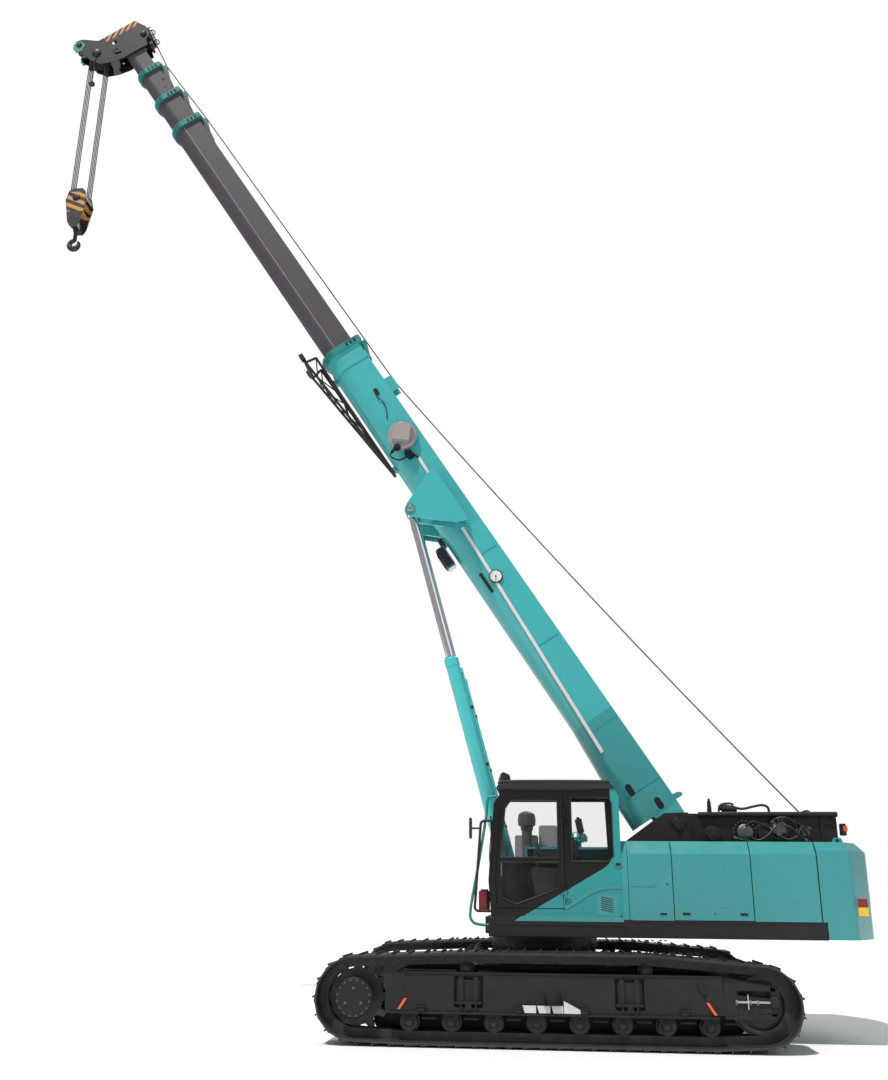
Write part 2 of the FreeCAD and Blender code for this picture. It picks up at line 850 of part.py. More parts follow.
# ---------------------------------------------------------------- superstructure
def make_turntable():
    """The slewing platform: a floor box, the main plates that hold boom and winches, and cross walls."""
    floor = prism(
        "XY",
        [
            ("deck_front", "-half_wide"),
            ("deck_front", "-main_inner - 300"),
            ("deck_front + 90", "-main_inner - 240"),
            ("deck_front + 90", "main_inner + 240"),
            ("deck_front", "main_inner + 300"),
            ("deck_front", "half_wide"),
            ("deck_rear", "half_wide"),
            ("deck_rear", "-half_wide"),
        ],
        "deck_low",
        "deck_high",
    )
    hub = rod("z", "ring_high + seat_clear", "deck_low + 20", "0", "0", "ring_radius - 30")
    plate = [
        ("cylinder_foot - 180", "deck_high - 5"),
        ("cylinder_foot + 190", "deck_high - 5"),
        ("cylinder_foot + 160", "cylinder_foot_high + 60"),
        ("cylinder_foot + 60", "cylinder_foot_high + 150"),
        ("cylinder_foot - 110", "cylinder_foot_high + 150"),
        ("foot_place + 520", "panel_top"),
        ("foot_place + 160", "boom_plate_top"),
        ("winch_place - 480", "boom_plate_top"),
        ("winch_place - 760", "panel_top + 60"),
        ("winch_place - 760", "deck_high + 260"),
        ("deck_rear", "deck_high - 5"),
        ("cylinder_foot - 700", "deck_high - 5"),
    ]
    ring_hole = ("foot_place", "foot_high", "foot_radius")
    foot_hole = ("cylinder_foot", "cylinder_foot_high", "pin_radius")
    inner = prism("XZ", plate, "main_inner", "main_inner + main_plate", circles=(ring_hole, foot_hole))
    outer = prism(
        "XZ",
        [
            ("cylinder_foot - 180", "deck_high - 5"),
            ("cylinder_foot + 190", "deck_high - 5"),
            ("cylinder_foot + 160", "cylinder_foot_high + 60"),
            ("cylinder_foot + 60", "cylinder_foot_high + 150"),
            ("cylinder_foot - 60", "cylinder_foot_high + 150"),
            ("cylinder_foot - 180", "cylinder_foot_high + 60"),
        ],
        "outer_plate",
        "outer_plate + main_plate",
        circles=(foot_hole,),
    )
    walls = both(fuse(inner, outer))
    cross = [
        box(("foot_place - 330", "foot_place - 300"), ("-main_inner - 5", "main_inner + 5"), ("deck_high - 5", "foot_high - 330")),
        box(("deck_rear + 20", "deck_rear + 50"), ("-main_inner - 5", "main_inner + 5"), ("deck_high - 5", "panel_top - 500")),
    ]
    boss = [
        rod("y", "main_inner + main_plate - 2", "main_inner + main_plate + 45", "foot_place", "foot_high", "foot_radius + 60"),
    ]
    pin = rod("y", "-main_inner - main_plate - 60", "main_inner + main_plate + 60", "foot_place", "foot_high", "foot_radius")
    foot_pins = both(
        rod("y", "main_inner", "outer_plate + main_plate + 25", "cylinder_foot", "cylinder_foot_high", "pin_radius")
    )
    return fuse(floor, hub, walls, *cross, both(boss[0]), pin, foot_pins)


node("turntable_frame", make_turntable())


def bay_panel(front, rear, low, high):
    """A bent side panel: upright, with a sloping band into the top."""
    return prism(
        "YZ",
        [
            ("half_wide - panel_thick", low),
            ("half_wide", low),
            ("half_wide", high + " - 150"),
            ("half_wide - 110", high),
            ("half_wide - 110 - panel_thick", high),
            ("half_wide - panel_thick", high + " - 160"),
        ],
        rear,
        front,
    )


def make_left_housing():
    """The fixed bays beside the left main plate: front bay, rear bay, and the flat top of all of them."""
    front_bay = bay_panel("bay_front", "bay_split + panel_gap / 2", "deck_high", "panel_top")
    rear_bay = bay_panel("bay_back - panel_gap / 2", "weight_front + panel_gap", "deck_high", "panel_top")
    top = box(
        ("weight_front + panel_gap", "bay_front"),
        ("main_inner + main_plate + 130", "half_wide - 118 - panel_thick"),
        ("panel_top - 30", "panel_top"),
    )
    strips = [
        box(ends, ("half_wide - 140 - panel_thick", "half_wide - 108 - panel_thick"), ("panel_top - 30", "panel_top"))
        for ends in (
            ("weight_front + panel_gap", "bay_back - panel_gap / 2"),
            ("bay_split + panel_gap / 2", "bay_front"),
        )
    ]
    front_wall = prism(
        "YZ",
        [
            ("main_inner + main_plate + 2", "deck_high"),
            ("half_wide - 2", "deck_high"),
            ("half_wide - 2", "panel_top - 151"),
            ("half_wide - 112", "panel_top"),
            ("main_inner + main_plate + 2", "panel_top"),
        ],
        "bay_front - 25",
        "bay_front",
    )
    posts = [
        box(
            (place + " - 20", place + " + 20"),
            ("half_wide - panel_thick - 70", "half_wide - panel_thick - seat_clear"),
            ("deck_high", "panel_top - 165"),
        )
        for place in ("bay_split", "bay_back")
    ]
    header = box(
        ("bay_back - 20", "bay_split + 20"),
        ("half_wide - 108 - panel_thick - 60", "half_wide - 108 - panel_thick - 12"),
        ("panel_top - 60", "panel_top - 25"),
    )
    ribs = [
        box(
            (place + " - 20", place + " + 20"),
            ("half_wide - panel_thick - 210", "half_wide - panel_thick - 60"),
            ("panel_top - 190", "panel_top - 160"),
        )
        for place in ("bay_split", "bay_back")
    ]
    tops = [
        box(
            (place + " - 20", place + " + 20"),
            ("half_wide - panel_thick - 240", "half_wide - panel_thick - 150"),
            ("panel_top - 190", "panel_top - 20"),
        )
        for place in ("bay_split", "bay_back")
    ]
    return fuse(front_bay, rear_bay, top, *strips, front_wall, *posts, header, *ribs, *tops)


left_housing = make_left_housing()
node("left_housing", left_housing)


def make_left_bay_door():
    """The door of the middle bay, hung at its front edge."""
    door = bay_panel("bay_split - panel_gap / 2", "bay_back + panel_gap / 2", "deck_high + 6", "panel_top")
    latch = [
        box((place + " - 35", place + " + 35"), ("half_wide - 6", "half_wide + 4"), ("deck_high + 150", "deck_high + 190"))
        for place in ("bay_back + 90", "bay_back + 360")
    ]
    return fuse(door, *latch)


node("left_bay_door", make_left_bay_door())


def make_right_housing():
    """The right side: the same bays carried on to the front, with the tank ahead of them."""
    rear_bay = bay_panel("bay_back - panel_gap / 2", "weight_front + panel_gap", "deck_high", "panel_top")
    front_bay = bay_panel("deck_front - 420", "bay_split + panel_gap / 2", "deck_high", "panel_top")
    top = box(
        ("weight_front + panel_gap", "deck_front - 420"),
        ("outer_plate + main_plate + 2", "half_wide - 118 - panel_thick"),
        ("panel_top - 30", "panel_top"),
    )
    strips = [
        box(ends, ("half_wide - 140 - panel_thick", "half_wide - 108 - panel_thick"), ("panel_top - 30", "panel_top"))
        for ends in (
            ("weight_front + panel_gap", "bay_back - panel_gap / 2"),
            ("bay_split + panel_gap / 2", "deck_front - 420"),
        )
    ]
    walls = [
        prism(
            "YZ",
            [
                ("outer_plate + main_plate + 2", "deck_high"),
                ("half_wide - 2", "deck_high"),
                ("half_wide - 2", "panel_top - 151"),
                ("half_wide - 112", "panel_top"),
                ("outer_plate + main_plate + 2", "panel_top"),
            ],
            place,
            place + " + 25",
        )
        for place in ("deck_front - 445", "bay_split + 30")
    ]
    posts = [
        box(
            (place + " - 20", place + " + 20"),
            ("half_wide - panel_thick - 70", "half_wide - panel_thick - seat_clear"),
            ("deck_high", "panel_top - 165"),
        )
        for place in ("bay_split", "bay_back")
    ]
    tops = [
        box(
            (place + " - 20", place + " + 20"),
            ("half_wide - panel_thick - 240", "half_wide - panel_thick - 150"),
            ("panel_top - 190", "panel_top - 20"),
        )
        for place in ("bay_split", "bay_back")
    ]
    ribs = [
        box(
            (place + " - 20", place + " + 20"),
            ("half_wide - panel_thick - 210", "half_wide - panel_thick - 60"),
            ("panel_top - 190", "panel_top - 160"),
        )
        for place in ("bay_split", "bay_back")
    ]
    dome = turned(
        [("0", "0"), ("60", "0"), ("60", "70"), ("150", "90"), ("150", "150"), ("120", "200"), ("0", "230")],
        ("-500", "950"),
        "panel_top",
        "z",
    )
    tank_cap = rod("z", "panel_top", "panel_top + 45", "0", "1050", "60")
    return mirrored(fuse(*strips, rear_bay, front_bay, top, *walls, *posts, *tops, *ribs, dome, tank_cap))


node("right_housing", make_right_housing())
node("right_bay_door", mirrored(NODES["left_bay_door"]))


def make_front_deck():
    """The box steps and tool locker in front of the right bays."""
    steps = prism(
        "XZ",
        [
            ("deck_front - 400", "deck_high"),
            ("deck_front - 20", "deck_high"),
            ("deck_front - 20", "deck_high + 270"),
            ("deck_front - 200", "deck_high + 300"),
            ("deck_front - 200", "deck_high + 560"),
            ("deck_front - 400", "deck_high + 590"),
        ],
        "-half_wide + 20",
        "-outer_plate - main_plate - 40",
    )
    return steps


node("tool_locker", make_front_deck())


def make_counterweight():
    """The cast weight across the rear: round corners in plan, bevelled along its top edge."""
    plan = [
        ("weight_front", "-half_wide"),
        ("weight_front", "half_wide"),
        ("weight_rear + weight_round", "half_wide"),
        ("weight_rear + 130", "half_wide - weight_round"),
        ("weight_rear", "half_wide - weight_round - 420"),
        ("weight_rear", "-half_wide + weight_round + 420"),
        ("weight_rear + 130", "-half_wide + weight_round"),
        ("weight_rear + weight_round", "-half_wide"),
    ]
    body = prism("XY", plan, "deck_low + 5", "panel_top")
    body = rounded(body, 150, lambda e: along(e, Z_AXIS) and e.BoundBox.XMin < value("weight_front") - 100)
    body = chamfered(body, 105, lambda e: e.BoundBox.ZMin > value("panel_top") - 1 and e.BoundBox.XMin < value("weight_front") - 1)
    room = box(
        ("deck_rear - 300", "weight_front + 5"),
        ("-outer_plate + 180", "outer_plate - 180"),
        ("deck_high + 200", "panel_top + 5"),
    )
    seat = box(("deck_rear - 10", "weight_front + 5"), ("-half_wide - 5", "half_wide + 5"), ("deck_low - 5", "deck_high + seat_clear"))
    winch_room = box(
        ("winch_place - 775", "weight_front + 5"),
        ("-main_inner - main_plate - 12", "main_inner + main_plate + 12"),
        ("deck_high - 1", "panel_top + 5"),
    )
    eyes = both(
        prism(
            "XZ",
            [
                ("weight_rear + 300", "panel_top - 3"),
                ("weight_rear + 460", "panel_top - 3"),
                ("weight_rear + 420", "panel_top + 75"),
                ("weight_rear + 340", "panel_top + 75"),
            ],
            "800",
            "840",
            circles=(("weight_rear + 380", "panel_top + 38", "22"),),
        )
    )
    return fuse(cut(body, room, seat, winch_room), eyes)


node("counterweight", make_counterweight())


def make_engine():
    """The engine as one plain block, behind the right bays' door."""
    return box(("-2950", "-1700"), ("-half_wide + 210", "-outer_plate - 60"), ("deck_high", "panel_top - 270"))


node("engine_block", make_engine())


# ---------------------------------------------------------------- winches
def make_winch(place, high, radius):
    """A flanged drum with its rope's winding as a closed body, on a shaft between the main plates."""
    half = "(main_inner - 14)"
    reach = "(main_inner - seat_clear)"
    return turned(
        [
            ("0", "-" + reach),
            ("60", "-" + reach),
            ("60", "-" + half),
            (radius, "-" + half),
            (radius, "-" + half + " + 18"),
            ("(" + radius + ") * 0.78", "-" + half + " + 18"),
            ("(" + radius + ") * 0.78", half + " - 18"),
            (radius, half + " - 18"),
            (radius, half),
            ("60", half),
            ("60", reach),
            ("0", reach),
        ],
        (place, high),
        "0",
    )


node("main_winch", make_winch("winch_place", "winch_high", "winch_radius"))
node("aux_winch", make_winch("aux_winch_place", "aux_winch_high", "winch_radius * 0.85"))


def make_winch_mounts():
    """The reducers and bearing plates bolted outside the main plates, with stub shafts."""
    made = []
    for place, high, radius in (("winch_place", "winch_high", "140"), ("aux_winch_place", "aux_winch_high", "115")):
        made.append(
            turned(
                [("0", "0"), (radius, "0"), (radius, "30"), (radius + " - 35", "40"), (radius + " - 35", "110"), ("0", "120")],
                (place, high),
                "main_inner + main_plate",
            )
        )
        made.append(rod("y", "-main_inner - main_plate - 30", "-main_inner - main_plate", place, high, radius))
    return group(*made)


node("winch_reducers", make_winch_mounts())

# ---------------------------------------------------------------- cab
CAB_SIDE = [
    ("cab_front - 30", "cab_low"),
    ("cab_front", "cab_low + 420"),
    ("cab_front - 70", "cab_top - 190"),
    ("cab_front - 200", "cab_top"),
    ("cab_rear + 60", "cab_top"),
    ("cab_rear", "cab_top - 90"),
    ("cab_rear", "cab_low"),
]
CAB_ROOM = [
    ("cab_front - 30 - cab_wall", "cab_low + cab_wall"),
    ("cab_front - cab_wall", "cab_low + 420"),
    ("cab_front - 70 - cab_wall", "cab_top - 200"),
    ("cab_front - 190 - cab_wall", "cab_top - cab_wall"),
    ("cab_rear + 60 + cab_wall / 2", "cab_top - cab_wall"),
    ("cab_rear + cab_wall", "cab_top - 90 - cab_wall / 2"),
    ("cab_rear + cab_wall", "cab_low + cab_wall"),
]
DOOR_OPENING = [
    ("cab_front - 100", "cab_low + 95"),
    ("cab_front - 85", "cab_low + 420"),
    ("cab_front - 150", "cab_top - 215"),
    ("cab_front - 245", "cab_top - 95"),
    ("door_rear", "cab_top - 95"),
    ("door_rear", "cab_low + 95"),
]
SIDE_WINDOW = [
    ("door_rear - 90", "cab_low + 640"),
    ("door_rear - 90", "cab_top - 120"),
    ("cab_rear + 120", "cab_top - 120"),
    ("cab_rear + 90", "cab_top - 180"),
    ("cab_rear + 90", "cab_low + 700"),
    ("cab_rear + 150", "cab_low + 640"),
]


def make_cab_shell():
    """Roof, floor, rear wall, side walls and front frame, with every window and the doorway cut."""
    outside = prism("XZ", CAB_SIDE, "cab_right", "half_wide")
    inside = prism("XZ", CAB_ROOM, "cab_right + cab_wall", "half_wide - cab_wall")
    doorway = prism("XZ", DOOR_OPENING, "half_wide - cab_wall - 5", "half_wide + 5")
    rear_side = prism("XZ", SIDE_WINDOW, "half_wide - cab_wall - 5", "half_wide + 5")
    right_window = prism(
        "XZ",
        [
            ("cab_front - 110", "cab_low + 480"),
            ("cab_front - 175", "cab_top - 215"),
            ("cab_front - 250", "cab_top - 110"),
            ("cab_rear + 130", "cab_top - 110"),
            ("cab_rear + 100", "cab_low + 480"),
        ],
        "cab_right - 5",
        "cab_right + cab_wall + 5",
    )
    windscreen = box(
        ("cab_front - 150", "cab_front + 20"),
        ("cab_right + 70", "half_wide - 70"),
        ("cab_low + 460", "cab_top - 230"),
    )
    lower_screen = box(
        ("cab_front - 110", "cab_front + 20"),
        ("cab_right + 70", "half_wide - 70"),
        ("cab_low + 110", "cab_low + 400"),
    )
    roof_window = box(
        ("cab_front - 650", "cab_front - 300"),
        ("cab_right + 130", "half_wide - 130"),
        ("cab_top - cab_wall - 5", "cab_top + 5"),
    )
    rear_window = box(
        ("cab_rear - 5", "cab_rear + cab_wall + 5"),
        ("cab_right + 120", "half_wide - 120"),
        ("cab_low + 700", "cab_top - 170"),
    )
    shell = cut(outside, inside, doorway, rear_side, right_window, windscreen, lower_screen, roof_window, rear_window)
    feet = [
        box((place + " - 60", place + " + 60"), (low, low + " + 120"), ("deck_high", "cab_low + 5"))
        for place in ("cab_front - 200", "cab_rear + 150")
        for low in ("cab_right + 60", "half_wide - 180")
    ]
    hinges = []
    for low in (260, 1180):
        low_z, high_z = "cab_low + %d" % (low - 45), "cab_low + %d - seat_clear" % low
        hinges.append(rod("z", low_z, high_z, "door_rear - 6", "half_wide + 26", "16"))
        hinges.append(box(("door_rear - 60", "door_rear - 6"), ("half_wide - 5", "half_wide + 30"), (low_z, high_z)))
    return fuse(shell, *feet, *hinges)


node("cab_shell", make_cab_shell())
def pane(corners, low, high):
    return prism("XZ", corners, low, high)


def make_cab_glazing():
    """The fixed panes, each in the middle of its wall, seated on its opening's edge."""
    side = pane(
        [
            ("door_rear - 90.3", "cab_low + 640.3"),
            ("door_rear - 90.3", "cab_top - 120.3"),
            ("cab_rear + 120.2", "cab_top - 120.3"),
            ("cab_rear + 90.3", "cab_top - 180.2"),
            ("cab_rear + 90.3", "cab_low + 700.2"),
            ("cab_rear + 150.2", "cab_low + 640.3"),
        ],
        "half_wide - 20",
        "half_wide - 14",
    )
    right = pane(
        [
            ("cab_front - 110.4", "cab_low + 480.3"),
            ("cab_front - 175.4", "cab_top - 215.2"),
            ("cab_front - 250.4", "cab_top - 110.3"),
            ("cab_rear + 130.3", "cab_top - 110.3"),
            ("cab_rear + 100.4", "cab_low + 480.3"),
        ],
        "cab_right + 14",
        "cab_right + 20",
    )
    screen = prism(
        "XZ",
        [
            ("cab_front - 26", "cab_low + 460.3"),
            ("cab_front - 20", "cab_low + 460.3"),
            ("cab_front - 76", "cab_top - 230.3"),
            ("cab_front - 82", "cab_top - 230.3"),
        ],
        "cab_right + 70.3",
        "half_wide - 70.3",
    )
    lower = prism(
        "XZ",
        [
            ("cab_front - 44", "cab_low + 110.3"),
            ("cab_front - 38", "cab_low + 110.3"),
            ("cab_front - 20", "cab_low + 399.7"),
            ("cab_front - 26", "cab_low + 399.7"),
        ],
        "cab_right + 70.3",
        "half_wide - 70.3",
    )
    roof = box(
        ("cab_front - 649.7", "cab_front - 300.3"),
        ("cab_right + 130.3", "half_wide - 130.3"),
        ("cab_top - 25", "cab_top - 19"),
    )
    rear = box(
        ("cab_rear + 14", "cab_rear + 20"),
        ("cab_right + 120.3", "half_wide - 120.3"),
        ("cab_low + 700.3", "cab_top - 170.3"),
    )
    return group(side, right, screen, lower, roof, rear)


node("cab_glazing", make_cab_glazing())
DOOR_EDGE = [
    ("cab_front - 100 - door_gap", "cab_low + 95 + door_gap"),
    ("cab_front - 85 - door_gap", "cab_low + 420"),
    ("cab_front - 150 - door_gap", "cab_top - 215"),
    ("cab_front - 245 - door_gap / 2", "cab_top - 95 - door_gap"),
    ("door_rear + door_gap", "cab_top - 95 - door_gap"),
    ("door_rear + door_gap", "cab_low + 95 + door_gap"),
]


DOOR_UPPER = [
    ("cab_front - 150", "cab_low + 680"),
    ("cab_front - 215", "cab_top - 240"),
    ("cab_front - 285", "cab_top - 155"),
    ("door_rear + 75", "cab_top - 155"),
    ("door_rear + 75", "cab_low + 680"),
]
DOOR_LOWER = [
    ("cab_front - 160", "cab_low + 215"),
    ("cab_front - 150", "cab_low + 630"),
    ("door_rear + 75", "cab_low + 630"),
    ("door_rear + 75", "cab_low + 330"),
    ("cab_front - 340", "cab_low + 140"),
    ("cab_front - 265", "cab_low + 170"),
]


def make_cab_door():
    """The door's frame, cut for an upper and a lower window, with its hinges' knuckles and handle."""
    leaf = prism("XZ", DOOR_EDGE, "half_wide - door_thick + 6", "half_wide + 6")
    openings = [prism("XZ", form, "half_wide - door_thick - 5", "half_wide + 12") for form in (DOOR_UPPER, DOOR_LOWER)]
    knuckles = [
        rod("z", "cab_low + %d" % low, "cab_low + %d" % (low + 110), "door_rear - 6", "half_wide + 26", "16")
        for low in (260, 1180)
    ]
    leaves = [
        box(
            ("door_rear - 6", "door_rear + 70"),
            ("half_wide + 5", "half_wide + 16"),
            ("cab_low + %d" % low, "cab_low + %d" % (low + 110)),
        )
        for low in (260, 1180)
    ]
    links = [
        box(
            ("door_rear - 6", "door_rear + 12"),
            ("half_wide + 5", "half_wide + 30"),
            ("cab_low + %d" % low, "cab_low + %d" % (low + 110)),
        )
        for low in (260, 1180)
    ]
    handle = box(
        ("cab_front - 560", "cab_front - 300"),
        ("half_wide + 5", "half_wide + 30"),
        ("cab_low + 640", "cab_low + 672"),
    )
    return fuse(cut(leaf, *openings), *knuckles, *leaves, *links, handle)


node("cab_door", make_cab_door())


def make_door_glass():
    """The door's two panes, each filling its window."""
    return group(*[pane(form, "half_wide - 20", "half_wide - 14") for form in (DOOR_UPPER, DOOR_LOWER)])


node("door_glass", make_door_glass())


def make_seat():
    """The operator's seat: base, cushion, back and headrest, as one piece."""
    side = [
        ("-420", "cab_low + cab_wall + 250"),
        ("60", "cab_low + cab_wall + 270"),
        ("80", "cab_low + cab_wall + 380"),
        ("-290", "cab_low + cab_wall + 370"),
        ("-410", "cab_low + cab_wall + 900"),
        ("-430", "cab_low + cab_wall + 1150"),
        ("-500", "cab_low + cab_wall + 1150"),
        ("-510", "cab_low + cab_wall + 900"),
    ]
    middle = "(cab_right + half_wide) / 2"
    cushion = prism("XZ", side, middle + " - 215", middle + " + 215")
    stand = box(("-330", "0"), (middle + " - 160", middle + " + 160"), ("cab_low + cab_wall", "cab_low + cab_wall + 260"))
    return fuse(cushion, stand)


node("operator_seat", make_seat())


def make_consoles():
    """The two armrest consoles with their levers, the front pedals and the display."""
    middle = "((cab_right + half_wide) / 2)"
    made = []
    for side in (-1, 1):
        near = middle + " + %d" % (side * 275)
        arm = prism(
            "XZ",
            [
                ("-300", "cab_low + cab_wall"),
                ("40", "cab_low + cab_wall"),
                ("150", "cab_low + cab_wall + 470"),
                ("120", "cab_low + cab_wall + 520"),
                ("-300", "cab_low + cab_wall + 520"),
            ],
            near + " - 45",
            near + " + 45",
        )
        lever = rod("z", "cab_low + cab_wall + 510", "cab_low + cab_wall + 640", "70", near, "14")
        knob = rod("z", "cab_low + cab_wall + 630", "cab_low + cab_wall + 700", "70", near, "24")
        made.append(fuse(arm, lever, knob))
    stand = box(("440", "480"), (middle + " + 250", middle + " + 290"), ("cab_low + cab_wall", "cab_low + cab_wall + 640"))
    screen = box(("420", "450"), (middle + " + 170", middle + " + 370"), ("cab_low + cab_wall + 620", "cab_low + cab_wall + 780"))
    pedals = [
        box(
            ("300", "420"),
            (middle + " + %d" % low, middle + " + %d" % (low + 90)),
            ("cab_low + cab_wall", "cab_low + cab_wall + 70"),
        )
        for low in (-160, -30)
    ]
    return group(*made, fuse(stand, screen), *pedals)


node("control_consoles", make_consoles())


def tube(points, radius):
    """A bent tube as a swept circle, with round bends at its inner corners."""
    spots = [Vector(*(value(v) for v in p)) for p in points]
    edges = []
    last = spots[0]
    for before, here, after in zip(spots, spots[1:], spots[2:]):
        inward = (before - here).normalize()
        outward = (after - here).normalize()
        turn = math.pi - inward.getAngle(outward)
        bend = radius * 3
        back = bend * math.tan(turn / 2)
        start = here + inward * back
        stop = here + outward * back
        centre = here + (inward + outward).normalize() * (bend / math.cos(turn / 2))
        halfway = centre + (here - centre).normalize() * bend
        edges.append(Part.LineSegment(last, start).toShape())
        edges.append(Part.Arc(start, halfway, stop).toShape())
        last = stop
    edges.append(Part.LineSegment(last, spots[-1]).toShape())
    wire = Part.Wire(edges)
    circle = Part.Wire(Part.makeCircle(radius, spots[0], spots[1] - spots[0]))
    made = doc.addObject("Part::Feature", fresh("Tube"))
    made.Shape = wire.makePipeShell([circle], True, False)
    return made


def cab_face(high):
    """How far forward the cab's front pillar reaches at a height."""
    knee = value("cab_low + 420")
    if high < knee:
        return value("cab_front") - 30 * (knee - high) / 420
    return value("cab_front") - 70 * (high - knee) / value("cab_top - 190 - cab_low - 420")


def make_cab_rails():
    """The front grab rail with the mirror on it, the roof guard's two rails, and the roof lamp."""
    edge = "half_wide - 20"
    upper = value("cab_top - 400")
    lower = value("cab_low + 60")
    clear = value("seat_clear")
    grab = tube(
        [
            (cab_face(upper) + clear + 1.2, edge, upper),
            ("cab_front + 90", edge, upper),
            ("cab_front + 170", edge, lower),
            (cab_face(lower) + clear + 1.2, edge, lower),
        ],
        16,
    )
    rails = []
    for near in ("cab_right + 60", "half_wide - 60"):
        rails.append(
            tube(
                [
                    ("cab_front - 330", near, "cab_top"),
                    ("cab_front - 330", near, "cab_top + 70"),
                    ("cab_rear + 200", near, "cab_top + 70"),
                    ("cab_rear + 200", near, "cab_top"),
                ],
                14,
            )
        )
    arm = rod("x", "cab_front + 95", "cab_front + 230", edge, str(upper - 90), "11")
    plate = box(
        ("cab_front + 205", "cab_front + 230"),
        ("half_wide - 100", "half_wide + 90"),
        (str(upper - 210), str(upper + 30)),
    )
    lamp = box(("cab_front - 300", "cab_front - 215"), ("half_wide - 200", "half_wide - 95"), ("cab_top", "cab_top + 95"))
    return group(fuse(grab, arm, plate), *rails, lamp)


node("cab_rails", make_cab_rails())

# ---------------------------------------------------------------- boom
def boom_form(wide, deep, thick="0"):
    """The section's outline: a flat top and sides, and a round bottom. a runs across, b up."""
    half = "(%s) / 2 - %s" % (wide, thick)
    top = "base_top - (base_deep - (%s)) / 2 - %s" % (deep, thick)
    bend = "base_top - (base_deep - (%s)) / 2 - (%s) + (%s) / 2" % (deep, deep, wide)
    return [
        (half, top),
        ("-(%s)" % half, top),
        ("-(%s)" % half, bend, "0", bend, "left", "down"),
        (half, bend),
    ]


def section(wide, deep, start, end):
    """One telescoping section: a thin-walled tube, with its reinforced collar at the head."""
    shell = prism("YZ", boom_form(wide, deep), start, end, windows=(boom_form(wide, deep, "boom_wall"),))
    return shell


def collar(wide, deep, inner_wide, inner_deep, end):
    """The ring round a section's mouth, its inside lined down to the next section."""
    outer_wide = "(%s) + 2 * collar_thick" % wide
    outer_deep = "(%s) + 2 * collar_thick" % deep
    pads_wide = "(%s) + 2 * seat_clear" % inner_wide
    pads_deep = "(%s) + 2 * seat_clear" % inner_deep
    return prism(
        "YZ",
        boom_form(outer_wide, outer_deep),
        "(%s) - collar_long" % end,
        end,
        windows=(boom_form(pads_wide, pads_deep),),
    )


SECTIONS = [
    ("second", "third"),
    ("third", "fourth"),
    ("fourth", "fifth"),
]


